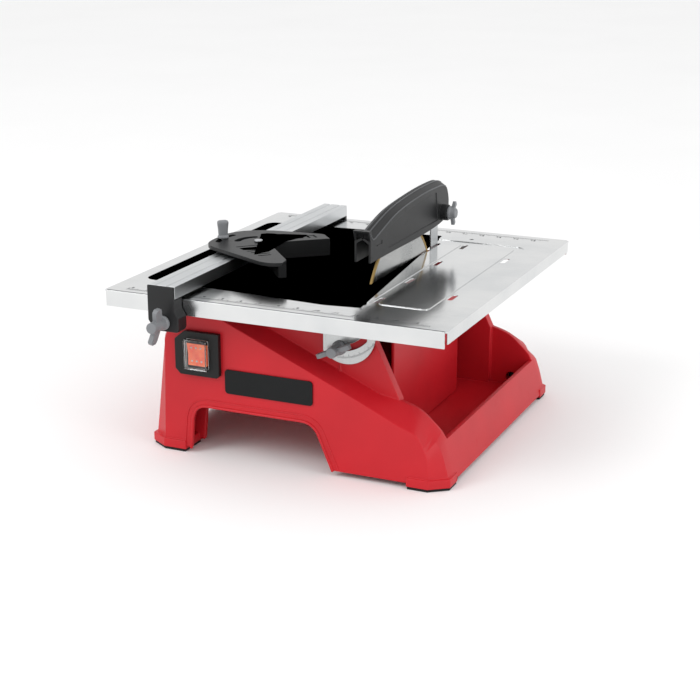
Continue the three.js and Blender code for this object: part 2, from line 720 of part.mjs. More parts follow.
function makeSplitter() {
  const half = SPLITTER_T / 2;
  const outline = new THREE.Shape();
  outline.moveTo(SPLITTER_Y0 + 6, SPLITTER_FOOT);
  outline.lineTo(SPLITTER_Y1, SPLITTER_FOOT);
  outline.lineTo(SPLITTER_Y1, GUARD_PIVOT_Z);
  outline.absarc(GUARD_PIVOT_Y, GUARD_PIVOT_Z, SPLITTER_Y1 - GUARD_PIVOT_Y, 0, Math.PI);
  outline.lineTo(SPLITTER_Y0, 205);
  outline.lineTo(SPLITTER_Y0, 180);
  outline.lineTo(SPLITTER_Y0 + 6, 150);
  const plate = sweepX(new THREE.Shape(uniquePoints(outline.getPoints(6))), BLADE_X - half, BLADE_X + half);
  const bolts = [108, 138].map((z) => rodX(M5 + RUN, BLADE_X - 3, BLADE_X + 3, 120, z, 12));
  add('splitter', cut(plate, rodX(M6 + RUN, BLADE_X - 3, BLADE_X + 3, GUARD_PIVOT_Y, GUARD_PIVOT_Z),
    rodX(2, BLADE_X - 3, BLADE_X + 3, GUARD_PIVOT_Y, GUARD_PIVOT_Z - 17, 12), ...bolts), 'dark_steel');

  const x0 = TRAY_LEFT + GAP;
  const x1 = BLADE_X - half - GAP;
  const block = box(x0, x1, 110, 134, 92, 150);
  const bores = [108, 138].map((z) => rodX(M5 + RUN, x0 - 1, x1 + 1, 120, z, 12));
  add('splitter_bracket', cut(block, ...bores), 'zinc');
  const head = BLADE_X + half + GAP;
  for (const [name, z] of [['lower', 108], ['upper', 138]]) {
    const screw = union(rodX(M5, x0, head + 1, 120, z, 12), rodX(4.6, head, head + 3, 120, z, 12));
    add(`splitter_screw_${name}`, screw, 'zinc');
  }
}

// Stations along the guard, front to back: y, bottom edge, top of the side walls, ridge.
const GUARD_STATIONS = [
  [-97, 215.5, 238.5, 242],
  [-72, 215.5, 244, 250.5],
  [-20, 215, 256.5, 261.8],
  [50, 214, 262.2, 267],
  [110, 216, 262, 267],
  [130, 220, 258.5, 263],
  [138, 226, 249, 252],
  [141, 233, 240, 242],
];
const CROWN = 2.6;               // half width of the guard's ridge
const TAIL_WALL_Y = 129;         // inner face of the guard's rear end

// The guard's skin: upright walls and a chamfered roof. A cavity is the same skin, inset and open below.
function guardSkin(inset) {
  const lower = new THREE.SplineCurve(GUARD_STATIONS.map(([y, low]) => new THREE.Vector2(y, low)));
  const upper = new THREE.SplineCurve(GUARD_STATIONS.map((s) => new THREE.Vector2(s[2], s[3])));
  const half = GUARD_W / 2 - inset;
  const crown = CROWN - inset / 2;
  const rings = lower.getPoints(21).map(({ x: y, y: low }, i) => {
    const { x: wall, y: ridge } = upper.getPoint(i / 21);
    const floor = inset > 0 ? low - 30 : low;
    const front = inset > 0 && i === 0 ? y - 1 : y;
    const top = ridge - inset;
    const side = [[-half, floor], [-half, wall - inset], [-crown, top], [crown, top], [half, wall - inset], [half, floor]];
    return { y: front, points: side.map(([x, z]) => [BLADE_X + x, z]) };
  });
  return loft(inset > 0 ? rings.filter(({ y }) => y < TAIL_WALL_Y) : rings);
}

// The flared mouth at the front: a slanted box, open to the front and below.
function guardMouth() {
  const half = GUARD_W / 2;
  const inside = half - GUARD_WALL;
  const [, low] = GUARD_STATIONS[0];
  const top = 251.3;
  const frame = toShape([[-101.5, top], [-94.5, top], [-79.5, low], [-87.4, low]]);
  const opening = toShape([[-110, top - GUARD_WALL], [-96.5, top - GUARD_WALL], [-81.5, low - 3], [-110, low - 3]]);
  return cut(
    sweepX(frame, BLADE_X - half, BLADE_X + half),
    sweepX(opening, BLADE_X - inside, BLADE_X + inside),
  );
}

function guardPanel() {
  const shape = new THREE.Shape();
  shape.moveTo(-55, 243);
  shape.quadraticCurveTo(10, 257, 99, 256);
  shape.lineTo(105.5, 222);
  shape.lineTo(-46.5, 222);
  return new THREE.Shape(uniquePoints(shape.getPoints(6)));
}

function makeGuard() {
  const half = GUARD_W / 2;
  const inside = half - GUARD_WALL;
  const seam = 0.15;
  const recess = 0.8;
  const reach = 30;
  const bolt = rodX(M6 + RUN, BLADE_X - 20, BLADE_X + reach, GUARD_PIVOT_Y, GUARD_PIVOT_Z);
  const skin = cut(
    union(guardSkin(0), guardMouth()),
    guardSkin(GUARD_WALL),
    box(BLADE_X - inside, BLADE_X + inside, -110, -75, 200, 235),
    box(BLADE_X - 3.5, BLADE_X + 3.5, TAIL_WALL_Y - 30, 150, 200, 242),
    sweepX(guardPanel(), BLADE_X - half - 1, BLADE_X - half + recess),
    sweepX(guardPanel(), BLADE_X + half - recess, BLADE_X + half + 1),
    bolt,
  );
  const left = skin.intersect(box(BLADE_X - half - 1, BLADE_X - seam, -120, 160, 190, 280));
  const right = skin.intersect(box(BLADE_X + seam, BLADE_X + half + 1, -120, 160, 190, 280));
  const bossLength = 8.5;
  const boss = cut(
    rodX(9.5, BLADE_X + half - 0.9, BLADE_X + half + bossLength, GUARD_PIVOT_Y, GUARD_PIVOT_Z, 24),
    bolt,
  );
  add('guard_left', left, 'black');
  add('guard_right', union(right, boss), 'black');

  const bushing = (x0, x1) => cut(
    rodX(7, x0, x1, GUARD_PIVOT_Y, GUARD_PIVOT_Z),
    rodX(M6 + RUN, x0 - 1, x1 + 1, GUARD_PIVOT_Y, GUARD_PIVOT_Z),
  );
  const plateHalf = SPLITTER_T / 2 + GAP;
  const wallHalf = inside - GAP;
  add('guard_spacer_left', bushing(BLADE_X - wallHalf, BLADE_X - plateHalf), 'zinc');
  add('guard_spacer_right', bushing(BLADE_X + plateHalf, BLADE_X + wallHalf), 'zinc');
  const bossFace = BLADE_X + half + bossLength;
  const pin = union(
    rodX(M6, BLADE_X - half - 1, bossFace + 5, GUARD_PIVOT_Y, GUARD_PIVOT_Z),
    rodX(5.5, BLADE_X - half - 4, BLADE_X - half - GAP, GUARD_PIVOT_Y, GUARD_PIVOT_Z, 6),
  );
  add('guard_bolt', pin, 'zinc');
  const knob = wingKnob(14, 9.5, M6).rotate([0, 90, 0]).rotate([-10, 0, 0])
    .translate([bossFace + GAP, GUARD_PIVOT_Y, GUARD_PIVOT_Z]);
  add('guard_knob', knob, 'grey');
}

// A two-winged knob on +Z: a tapered hub with a blind bore, and two flat wings.
function wingKnob(span, length, bore) {
  const hub = new THREE.LatheGeometry([
    new THREE.Vector2(0, 0),
    new THREE.Vector2(7, 0),
    new THREE.Vector2(5.6, length - 1),
    new THREE.Vector2(4.8, length),
    new THREE.Vector2(0, length),
  ], 20);
  hub.rotateX(Math.PI / 2);
  const wing = toShape([
    [-span, length * 0.45], [-span, length - 1.5], [-span + 4, length],
    [-5, length - 3], [5, length - 3],
    [span - 4, length], [span, length - 1.5], [span, length * 0.45],
    [6, 2], [-6, 2],
  ]);
  const body = union(solid(hub), sweepY(wing, -2, 2));
  return cut(body, rodZ(bore + RUN, -1, length - 4, 0, 0, 16));
}

// ---------------------------------------------------------------- table

// One pressed channel round three raised panels.
const PANEL_EDGES = [[-190, 16], [27.5, 84.4], [94, 151]];
const PANEL_Y = 144;
const CHANNEL = 10;

function grooveCut() {
  const z0 = TABLE_TOP - GROOVE;
  const z1 = TABLE_TOP + 1;
  const first = PANEL_EDGES[0][0] - CHANNEL;
  const last = PANEL_EDGES[PANEL_EDGES.length - 1][1] + CHANNEL;
  const left = Math.max(first, -HALF_W + 16);
  const field = raiseZ(roundRect(left, last, -PANEL_Y - CHANNEL - 1, PANEL_Y + CHANNEL + 1, 12), z0, z1);
  const panels = PANEL_EDGES.map(([x0, x1]) => raiseZ(
    roundRect(Math.max(x0, left + CHANNEL), x1, -PANEL_Y, PANEL_Y, 7), z0 - 1, z1 + 1));
  return cut(field, ...panels);
}

function drainSlots() {
  const spots = [
    ...[-128, -41, 44.5, 130.5].map((y) => [90.5, y]),
    ...[-87, 87].map((y) => [157, y]),
  ];
  return union(...spots.map(([x, y]) => raiseZ(roundRect(x - 3.4, x + 3.4, y - 11, y + 11, 3.3),
    SHEET_UNDER - 1, TABLE_TOP + 1)));
}

function bracketScrewY() {
  return BRACKET_Y + BRACKET_T + 11;
}

function makeTable() {
  const sheet = box(-HALF_W, HALF_W, -HALF_D, HALF_D, SHEET_UNDER, TABLE_TOP);
  const side = CORNER_SLIT + SHEET;
  const skirts = [
    box(-HALF_W + 2, HALF_W - 1, -HALF_D, -HALF_D + SHEET, TABLE_TOP - SKIRT_END, TABLE_TOP - 0.5),
    box(-HALF_W + 2, HALF_W - 1, HALF_D - SHEET, HALF_D, TABLE_TOP - SKIRT_END, TABLE_TOP - 0.5),
    box(-HALF_W, -HALF_W + SHEET, -HALF_D + side, HALF_D - side, TABLE_TOP - SKIRT_SIDE, TABLE_TOP - 0.5),
    box(HALF_W - SHEET, HALF_W, -HALF_D + side, HALF_D - side, TABLE_TOP - SKIRT_SIDE, TABLE_TOP - 0.5),
  ];
  const notch = (x, y) => box(x - 2.5, x + 2.5, y - 2.5, y + 2.5, SHEET_UNDER - 20, TABLE_TOP + 1);
  const slot = raiseZ(roundRect(BLADE_X - SLOT_LEFT, BLADE_X + SLOT_RIGHT,
    BLADE_Y + SLOT_FRONT, BLADE_Y + SLOT_REAR, 3), SHEET_UNDER - 1, TABLE_TOP + 1);
  const holes = [-1, 1].flatMap((s) => [BLADE_X - 12, BLADE_X + 30].map(
    (x) => rodZ(M5 + RUN, SHEET_UNDER - 1, TABLE_TOP + 1, x, s * bracketScrewY(), 12)));
  const body = cut(
    union(sheet, ...skirts),
    grooveCut(),
    slot,
    drainSlots(),
    ...holes,
    notch(-HALF_W, -HALF_D), notch(HALF_W, -HALF_D), notch(-HALF_W, HALF_D), notch(HALF_W, HALF_D),
  );
  add('table_top', body, 'stainless');
}

// A bevel bracket: a hanging quadrant with an arc slot, and a flange under the table.
function bracketBody() {
  const y0 = -BRACKET_Y - BRACKET_T;
  const top = SHEET_UNDER - GAP;
  const centreX = BLADE_X + 7;
  const centreZ = HINGE_Z - 23.5;
  const radius = 34;
  const disc = rodY(radius, y0, -BRACKET_Y, centreX, centreZ, 64);
  const upper = box(BLADE_X - 19, centreX + radius - 1, y0, -BRACKET_Y, centreZ, top);
  const trim = union(
    box(centreX - radius - 2, BLADE_X - 19, y0 - 1, -BRACKET_Y + 1, centreZ - radius, top + 1),
    box(centreX - radius - 2, centreX + radius + 2, y0 - 1, -BRACKET_Y + 1, top, top + 20),
  );
  const flange = box(BLADE_X - 19, centreX + radius - 1, y0 - 20, y0 + 1, top - BRACKET_T, top);
  const arc = new THREE.Shape();
  const slotHalf = M6 + 0.4;
  const start = -Math.PI / 2;
  const end = start + BEVEL_MAX * RAD;
  const endCap = (angle, r, from, to) => arc.absarc(
    BLADE_X + BEVEL_R * Math.cos(angle), HINGE_Z + BEVEL_R * Math.sin(angle), r, from, to);
  arc.absarc(BLADE_X, HINGE_Z, BEVEL_R + slotHalf, start, end);
  endCap(end, slotHalf, end, end + Math.PI);
  arc.absarc(BLADE_X, HINGE_Z, BEVEL_R - slotHalf, end, start, true);
  endCap(start, slotHalf, start + Math.PI, start + 2 * Math.PI);
  const slot = sweepY(new THREE.Shape(uniquePoints(arc.getPoints(6))), y0 - 1, -BRACKET_Y + 1);
  const holes = [BLADE_X - 12, BLADE_X + 30].map(
    (x) => rodZ(M5 + RUN, top - BRACKET_T - 1, top + 1, x, -bracketScrewY(), 12));
  return cut(
    union(cut(union(disc, upper), trim), flange),
    slot,
    rodY(M5 + RUN, y0 - 1, -BRACKET_Y + 1, BLADE_X, HINGE_Z),
    ...holes,
  );
}

function makeBevel() {
  const bracket = bracketBody();
  const outer = -BRACKET_Y - BRACKET_T - GAP;
  const inner = -RIDGE_Y + EAR_T + GAP;
  const hinge = union(
    rodY(M5, outer - 1, inner + 1, BLADE_X, HINGE_Z),
    rodY(3.9, outer - 3, outer, BLADE_X, HINGE_Z, 12),
  );
  const spacer = cut(
    rodY(5, -BRACKET_Y + GAP, -RIDGE_Y - GAP, BLADE_X, HINGE_Z),
    rodY(M5 + RUN, -BRACKET_Y, -RIDGE_Y, BLADE_X, HINGE_Z),
  );
  const bolt = union(
    rodY(M6, outer - 14, inner + 1, BLADE_X, BEVEL_Z),
    rodY(8, inner, inner + 3.5, BLADE_X, BEVEL_Z, 6),
  );
  const knob = wingKnob(20, 22, M6).rotate([90, 0, 0]).rotate([0, -22, 0])
    .translate([BLADE_X, outer, BEVEL_Z]);
  const pieces = { bevel_bracket: [bracket, 'zinc'], hinge_screw: [hinge, 'zinc'], hinge_spacer: [spacer, 'zinc'],
    bevel_bolt: [bolt, 'zinc'], bevel_knob: [knob, 'grey'] };
  for (const [name, [body, material]] of Object.entries(pieces)) {
    add(`${name}_front`, body, material);
    add(`${name}_rear`, mirrorY(body), material);
  }
}

// ---------------------------------------------------------------- fence

const JAW_GAP = 0.5;

function makeFence() {
  const x0 = FENCE_X - FENCE_W / 2;
  const x1 = FENCE_X + FENCE_W / 2;
  const end = HALF_D + JAW_GAP;
  const wall = 2;
  const groove = (x) => box(x - 1.2, x + 1.2, -end - CLAMP_T, end + 1, FENCE_TOP - 0.8, FENCE_TOP + 1);
  const front = -end - CLAMP_T;
  const railFront = front + 3;
  const rail = cut(
    box(x0, x1, railFront, end, FENCE_BOTTOM, FENCE_TOP),
    box(x0 + wall, x1 - wall, railFront - 1, end + 1, FENCE_BOTTOM - 1, FENCE_TOP - wall),
    groove(FENCE_X - 7),
    groove(FENCE_X + 7),
  );
  add('fence_rail', rail, 'aluminium');

  const boltX = FENCE_X + 3;
  const boltZ = TABLE_TOP - SKIRT_END - M6 - 1.5;
  const clamp = cut(
    sweepY(toShape([
      [x0, FENCE_TOP], [x0, boltZ + 1], [x0 + 8, boltZ - 10], [x1 + 3, boltZ - 10], [x1 + 5, boltZ - 6],
      [x1 + 5, boltZ + 6], [x1, boltZ + 14], [x1, FENCE_TOP],
    ]), front, -end - GAP),
    box(x0 - 1, x1 + 1, railFront - GAP, -end, FENCE_BOTTOM - GAP, FENCE_TOP + 1),
    rodY(M6 + RUN, front - 1, -end + 1, boltX, boltZ),
  );
  const tongue = box(x0 + wall + GAP, x1 - wall - GAP, front + 1, -end + 12, FENCE_BOTTOM + 1, FENCE_TOP - wall - GAP);
  add('fence_clamp', union(clamp, tongue), 'black');

  const hook = union(
    box(x0 + wall + GAP, x1 - wall - GAP, end + GAP, end + 6, TABLE_TOP - SKIRT_END - 6, FENCE_TOP - wall - GAP),
    box(x0 + wall + GAP, x1 - wall - GAP, HALF_D - SHEET - 5, end + 1, TABLE_TOP - SKIRT_END - 6, TABLE_TOP - SKIRT_END - 1),
    box(x0 + wall + GAP, x1 - wall - GAP, end - 12, end + 1, FENCE_BOTTOM + 1, FENCE_TOP - wall - GAP),
  );
  add('fence_hook', hook, 'black');

  const jawBack = -HALF_D + SHEET + JAW_GAP;
  const jaw = cut(
    box(boltX - 12, boltX + 12, jawBack, jawBack + 4, boltZ - 9, TABLE_TOP - SHEET - 2),
    rodY(M6 + RUN, jawBack - 1, jawBack + 5, boltX, boltZ),
  );
  add('fence_jaw', jaw, 'zinc');
  const bolt = union(
    rodY(M6, front - 14, jawBack + 5, boltX, boltZ),
    rodY(5.5, jawBack + 4 + GAP, jawBack + 8, boltX, boltZ, 6),
  );
  add('fence_bolt', bolt, 'zinc');
  const knob = wingKnob(20, 26, M6).rotate([90, 0, 0]).rotate([0, -78, 0])
    .translate([boltX, front - GAP, boltZ]);
  add('fence_knob', knob, 'grey');
}

// ---------------------------------------------------------------- mitre gauge

const SADDLE_LEG = 4;
const LOCK_R = 46;               // pivot to the locking bolt

function makeSaddle() {
  const legIn = FENCE_W / 2 + JAW_GAP;
  const legOut = legIn + SADDLE_LEG;
  const y0 = GAUGE_Y - 24;
  const y1 = GAUGE_Y + 24;
  const block = box(FENCE_X - legOut, FENCE_X + legOut, y0, y1, FENCE_BOTTOM + 0.5, SADDLE_TOP);
  const room = box(FENCE_X - legIn, FENCE_X + legIn, y0 - 1, y1 + 1, FENCE_BOTTOM - 1, FENCE_TOP + GAP);
  const lockX = GAUGE_X - LOCK_R;
  const lug = box(lockX - 6.5, FENCE_X - legIn - 1, GAUGE_Y - 9, GAUGE_Y + 9, SADDLE_TOP - 5, SADDLE_TOP);
  const body = cut(
    union(cut(block, room), lug),
    rodZ(M6 + RUN, SADDLE_TOP - 8, SADDLE_TOP + 1, lockX, GAUGE_Y),
  );
  add('gauge_saddle', body, 'black');
}

// The V of the head about its pivot: its inner corner, and the inner ends of its two arms.
const V_CORNER = new THREE.Vector2(12.5, 2);
const V_FRONT = new THREE.Vector2(66.5, -62.5);
const V_REAR = new THREE.Vector2(68, 49);

// Plan outline of the head about its pivot: a round back and two arms that open at 90 degrees.
function headOutline() {
  const shape = new THREE.Shape();
  shape.moveTo(V_CORNER.x, V_CORNER.y);
  shape.lineTo(V_FRONT.x, V_FRONT.y);
  shape.lineTo(68.5, -76);
  shape.quadraticCurveTo(60, -85, 43, -81);
  shape.lineTo(-38, -41);
  shape.quadraticCurveTo(-54, -32, -54, -9);
  shape.lineTo(-54, 12);
  shape.quadraticCurveTo(-54, 50, -5, 60);
  shape.quadraticCurveTo(28, 64, 47, 66);
  shape.quadraticCurveTo(55, 66, 58, 59);
  shape.lineTo(V_REAR.x, V_REAR.y);
  return new THREE.Shape(uniquePoints(shape.getPoints(6)));
}

// The upright wall along the inner edge of one arm.
function armWall(end) {
  const along = end.clone().sub(V_CORNER).normalize();
  const out = new THREE.Vector2(-Math.abs(along.y), Math.sign(along.y) * along.x).multiplyScalar(ARM_WALL);
  const corners = [V_CORNER, end, end.clone().add(out), V_CORNER.clone().add(out)];
  return toShape(corners.map(({ x, y }) => [x, y]));
}

// An arc slot of the head, about its pivot.
function arcSlot(radius, centreAngle, halfAngle, halfWidth) {
  const shape = new THREE.Shape();
  const a0 = centreAngle - halfAngle;
  const a1 = centreAngle + halfAngle;
  shape.absarc(0, 0, radius + halfWidth, a0, a1);
  shape.absarc(radius * Math.cos(a1), radius * Math.sin(a1), halfWidth, a1, a1 + Math.PI);
  shape.absarc(0, 0, radius - halfWidth, a1, a0, true);
  shape.absarc(radius * Math.cos(a0), radius * Math.sin(a0), halfWidth, a0 + Math.PI, a0 + 2 * Math.PI);
  return new THREE.Shape(uniquePoints(shape.getPoints(6)));
}

// The arms' deep part: everything that stays clear of the saddle at full swivel.
function armWedge(side) {
  const s = Math.sin(GAUGE_SWIVEL * RAD);
  const c = Math.cos(GAUGE_SWIVEL * RAD);
  const start = FENCE_X - GAUGE_X + FENCE_W / 2 + JAW_GAP + SADDLE_LEG + 1.2;
  const edge = (v) => (start + v * s) / c;
  const points = [[edge(2), 2], [edge(120), 120], [200, 120], [200, 2]];
  return toShape(points.map(([x, y]) => [x, side * y]));
}

// Shallow recesses across the arms: plain bars on the front arm, hooked ones on the rear arm.
function armRecesses() {
  const z0 = GAUGE_TOP - 1.2;
  const z1 = GAUGE_TOP + 1;
  const bar = 2.6;
  const pitch = 8;
  const recesses = [];
  for (let i = 0; i < 7; i += 1) {
    const rear = 20.5 + i * pitch;
    const outer = 38 - i * 4.8;
    const hook = union(
      box(rear, rear + bar, 5 - i * 1.4, outer, z0, z1),
      box(rear - 5, rear + 1, outer - bar, outer, z0, z1),
    );
    recesses.push(hook.rotate([0, 0, 45]));
    const front = 13 + i * pitch;
    recesses.push(box(front, front + bar, -31 + i * 1.8, 2 - i * 1.2, z0, z1).rotate([0, 0, -45]));
  }
  return recesses;
}

function makeHead() {
  const bottom = FENCE_BOTTOM + 0.5;
  const plate = raiseZ(headOutline(), GAUGE_UNDER, GAUGE_TOP);
  const deep = raiseZ(headOutline(), bottom, GAUGE_UNDER + 0.5);
  const arms = [[V_FRONT, -1], [V_REAR, 1]].map(([end, side]) => deep
    .intersect(raiseZ(armWall(end), bottom - 1, GAUGE_UNDER + 2))
    .intersect(raiseZ(armWedge(side), bottom - 1, GAUGE_UNDER + 2)));
  const lockHalf = GAUGE_SWIVEL * RAD;
  const lockSlot = raiseZ(arcSlot(LOCK_R, Math.PI, lockHalf, M6 + 0.4), GAUGE_UNDER - 1, GAUGE_TOP + 1);
  const viewSlot = raiseZ(arcSlot(25, 0.88 * Math.PI, 0.55, 4), GAUGE_UNDER - 1, GAUGE_TOP + 1);
  const head = cut(union(plate, ...arms), lockSlot, viewSlot, ...armRecesses(),
    rodZ(M5 + RUN, GAUGE_UNDER - 1, GAUGE_TOP + 1, 0, 0, 16));
  add('gauge_head', head.translate([GAUGE_X, GAUGE_Y, 0]), 'black');

  const screw = union(
    rodZ(M5, SADDLE_TOP + GAP, GAUGE_TOP + 1, GAUGE_X, GAUGE_Y, 12),
    rodZ(5, GAUGE_TOP + GAP, GAUGE_TOP + 2.6, GAUGE_X, GAUGE_Y, 12),
  );
  add('gauge_pivot_screw', screw, 'zinc');
  const bolt = union(
    rodZ(M6, SADDLE_TOP - 6, GAUGE_TOP + 10, GAUGE_X - LOCK_R, GAUGE_Y),
    rodZ(5.5, SADDLE_TOP - 9, SADDLE_TOP - 5 - GAP, GAUGE_X - LOCK_R, GAUGE_Y, 6),
  );
  add('gauge_bolt', bolt, 'zinc');
  const knob = wingKnob(9, 21, M6).rotate([0, 0, 65])
    .translate([GAUGE_X - LOCK_R, GAUGE_Y, GAUGE_TOP + GAP]);
  add('gauge_knob', knob, 'grey');
}

// ---------------------------------------------------------------- assembly

makeBase();
makeShield();
makeDrain();
makeGland();
makeSwitch();
makeNamePlate();
makeMotor();
makeArbor();
makeSplitter();
makeGuard();
makeTable();
makeBevel();
makeFence();
makeSaddle();
makeHead();

// The object's own box is centred on the origin in X and Y.
const bounds = new THREE.Box3().setFromObject(group);
const middle = bounds.getCenter(new THREE.Vector3());
group.position.set(-middle.x, -middle.y, 0);

export default group;
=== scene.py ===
"""Looks of a bench-top tile cutter, built round its packed frame. Lengths are in metres."""

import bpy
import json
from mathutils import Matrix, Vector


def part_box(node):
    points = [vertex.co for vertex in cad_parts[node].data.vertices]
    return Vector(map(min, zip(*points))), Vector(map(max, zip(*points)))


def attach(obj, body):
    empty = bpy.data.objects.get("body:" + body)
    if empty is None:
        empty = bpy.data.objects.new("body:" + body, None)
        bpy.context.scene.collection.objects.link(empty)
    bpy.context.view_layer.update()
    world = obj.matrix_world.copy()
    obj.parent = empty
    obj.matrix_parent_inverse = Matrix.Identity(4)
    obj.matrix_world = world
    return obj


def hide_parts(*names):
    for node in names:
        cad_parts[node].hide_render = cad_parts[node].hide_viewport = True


bl_info = {
    "name": "Tile Cutter",
    "version": (1, 0, 0),
    "blender": (4, 5, 0),
    "location": "3D View > Sidebar > Tile Cutter",
    "description": "Builds the pieces and finishes of a bench-top tile cutter",
    "category": "Add Mesh",
}

import json
import math

import bmesh
import bpy
from bpy.props import FloatProperty, FloatVectorProperty, PointerProperty
from mathutils import Euler, Matrix, Vector

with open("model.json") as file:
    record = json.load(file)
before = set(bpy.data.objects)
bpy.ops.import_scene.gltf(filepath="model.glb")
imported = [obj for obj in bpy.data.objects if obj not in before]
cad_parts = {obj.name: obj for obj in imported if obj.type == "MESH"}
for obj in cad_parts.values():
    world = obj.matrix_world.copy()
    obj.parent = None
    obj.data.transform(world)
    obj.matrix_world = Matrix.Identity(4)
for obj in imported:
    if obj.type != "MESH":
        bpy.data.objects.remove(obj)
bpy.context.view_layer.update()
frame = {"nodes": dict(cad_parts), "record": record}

MM = 0.001
WELD = 2e-6                       # merging distance of a node's loose corners
FLAT = math.radians(0.5)          # faces this close to one plane are one face
CREASE = math.radians(32)         # a sharper edge than this stays an edge


# ---------------------------------------------------------------- node trees

class Flow:
    """A value in a node tree. Python's arithmetic on it adds Math nodes."""

    def __init__(self, owner, socket):
        self.owner = owner
        self.socket = socket

    def math(self, operation, *others):
        inputs = dict(enumerate((self, *others)))
        return self.owner.node("ShaderNodeMath", {"operation": operation}, inputs)

    def __add__(self, other):
        return self.math("ADD", other)

    __radd__ = __add__

    def __sub__(self, other):
        return self.math("SUBTRACT", other)

    def __rsub__(self, other):
        return self * -1.0 + other

    def __mul__(self, other):
        return self.math("MULTIPLY", other)

    __rmul__ = __mul__

    def __truediv__(self, other):
        return self.math("DIVIDE", other)

    def __pow__(self, other):
        return self.math("POWER", other)

    def ramp(self, low, high):
        """0 below low, 1 above high, and smooth in between."""
        settings = {"interpolation_type": "SMOOTHSTEP"}
        return self.owner.node("ShaderNodeMapRange", settings,
                               {"Value": self, "From Min": low, "From Max": high})


class Tree:
    """What a material and a Geometry Nodes recipe share: one way to add a node."""

    def __init__(self, tree):
        self.tree = tree

    def plug(self, socket, value):
        if isinstance(value, Flow):
            self.tree.links.new(value.socket, socket)
        else:
            socket.default_value = value

    def node(self, kind, settings=None, inputs=None, output=0):
        made = self.tree.nodes.new(kind)
        for key, value in (settings or {}).items():
            setattr(made, key, value)
        for key, value in (inputs or {}).items():
            self.plug(made.inputs[key], value)
        return Flow(self, made.outputs[output])


def rgb(code):
    """Linear colour of an sRGB hex code."""
    parts = [int(code[i:i + 2], 16) / 255 for i in (0, 2, 4)]
    return tuple(c / 12.92 if c <= 0.04045 else ((c + 0.055) / 1.055) ** 2.4 for c in parts) + (1.0,)


class Finish(Tree):
    """One material. Constants are set on the shader, and what varies is linked to it."""

    def __init__(self, name, **constants):
        self.material = bpy.data.materials.new(name)
        self.material.use_nodes = True
        super().__init__(self.material.node_tree)
        self.shader = self.tree.nodes["Principled BSDF"]
        for label, value in constants.items():
            self.shader.inputs[label.replace("_", " ")].default_value = value

    def feed(self, **values):
        for label, value in values.items():
            self.plug(self.shader.inputs[label.replace("_", " ")], value)

    def place(self, scale=(1, 1, 1), centre=(0, 0, 0), turn=(0, 0, 0)):
        """The piece's own coordinates about a centre, turned and scaled."""
        here = self.node("ShaderNodeTexCoord", output="Object")
        moved = self.node("ShaderNodeVectorMath", {"operation": "SUBTRACT"}, {0: here, 1: centre})
        return self.node("ShaderNodeMapping", None,
                         {"Vector": moved, "Rotation": turn, "Scale": scale})

    def noise(self, scale, detail=3.0, roughness=0.55, where=None):
        inputs = {"Vector": where or self.place(), "Scale": scale, "Detail": detail,
                  "Roughness": roughness}
        return self.node("ShaderNodeTexNoise", None, inputs)

    def cells(self, scale, where=None):
        return self.node("ShaderNodeTexVoronoi", None,
                         {"Vector": where or self.place(), "Scale": scale})

    def mix(self, first, second, share):
        made = self.tree.nodes.new("ShaderNodeMix")
        made.data_type = "RGBA"
        for index, value in ((0, share), (6, first), (7, second)):
            self.plug(made.inputs[index], value)
        return Flow(self, made.outputs[2])

    def relief(self, height, depth, strength=1.0):
        return self.node("ShaderNodeBump", None,
                         {"Height": height, "Distance": depth, "Strength": strength})


class Recipe(Tree):
    """A Geometry Nodes tree with named inputs. It ends in Realize Instances and Set Material."""

    def __init__(self, name, **sockets):
        super().__init__(bpy.data.node_groups.new(name, "GeometryNodeTree"))
        self.keys = {}
        face = self.tree.interface
        face.new_socket("Geometry", in_out="OUTPUT", socket_type="NodeSocketGeometry")
        for label, (kind, value) in {**sockets, "material": ("Material", None)}.items():
            item = face.new_socket(label, in_out="INPUT", socket_type="NodeSocket" + kind)
            if value is not None:
                item.default_value = value
            self.keys[label] = item.identifier
        self.entry = self.tree.nodes.new("NodeGroupInput")

    def given(self, label):
        return Flow(self, self.entry.outputs[label])

    def solid(self, name):
        """The geometry of the object given under that name."""
        return self.node("GeometryNodeObjectInfo", {"transform_space": "ORIGINAL"},
                         {"Object": self.given(name)}, "Geometry")

    def close(self, geometry):
        real = self.node("GeometryNodeRealizeInstances", None, {0: geometry})
        painted = self.node("GeometryNodeSetMaterial", None,
                            {"Geometry": real, "Material": self.given("material")})
        exit_node = self.tree.nodes.new("NodeGroupOutput")
        self.tree.links.new(painted.socket, exit_node.inputs[0])
        return self

    def make(self, name, **values):
        """A plain mesh object made by the tree with these inputs."""
        obj = linked(name, bpy.data.meshes.new(name))
        modifier = obj.modifiers.new("recipe", "NODES")
        modifier.node_group = self.tree
        for label, value in values.items():
            modifier[self.keys[label]] = value
        return settled(obj)


# ---------------------------------------------------------------- meshes

def linked(name, data):
    obj = bpy.data.objects.new(name, data)
    bpy.context.scene.collection.objects.link(obj)
    return obj


def settled(obj):
    """Turns an object's modifiers into its mesh."""
    graph = bpy.context.evaluated_depsgraph_get()
    mesh = bpy.data.meshes.new_from_object(
        obj.evaluated_get(graph), preserve_all_data_layers=True, depsgraph=graph)
    obj.modifiers.clear()
    old = obj.data
    obj.data = mesh
    mesh.name = obj.name
    bpy.data.meshes.remove(old)
    return obj


def merged(node):
    """A node's mesh with its loose triangles joined into whole faces."""
    shape = bmesh.new()
    shape.from_mesh(frame["nodes"][node].data)
    bmesh.ops.remove_doubles(shape, verts=shape.verts, dist=WELD)
    bmesh.ops.dissolve_limit(shape, angle_limit=FLAT, verts=shape.verts, edges=shape.edges)
    return shape


def as_object(name, shape, finish):
    mesh = bpy.data.meshes.new(name)
    shape.to_mesh(mesh)
    shape.free()
    mesh.materials.clear()
    mesh.materials.append(finish)
    return linked(name, mesh)


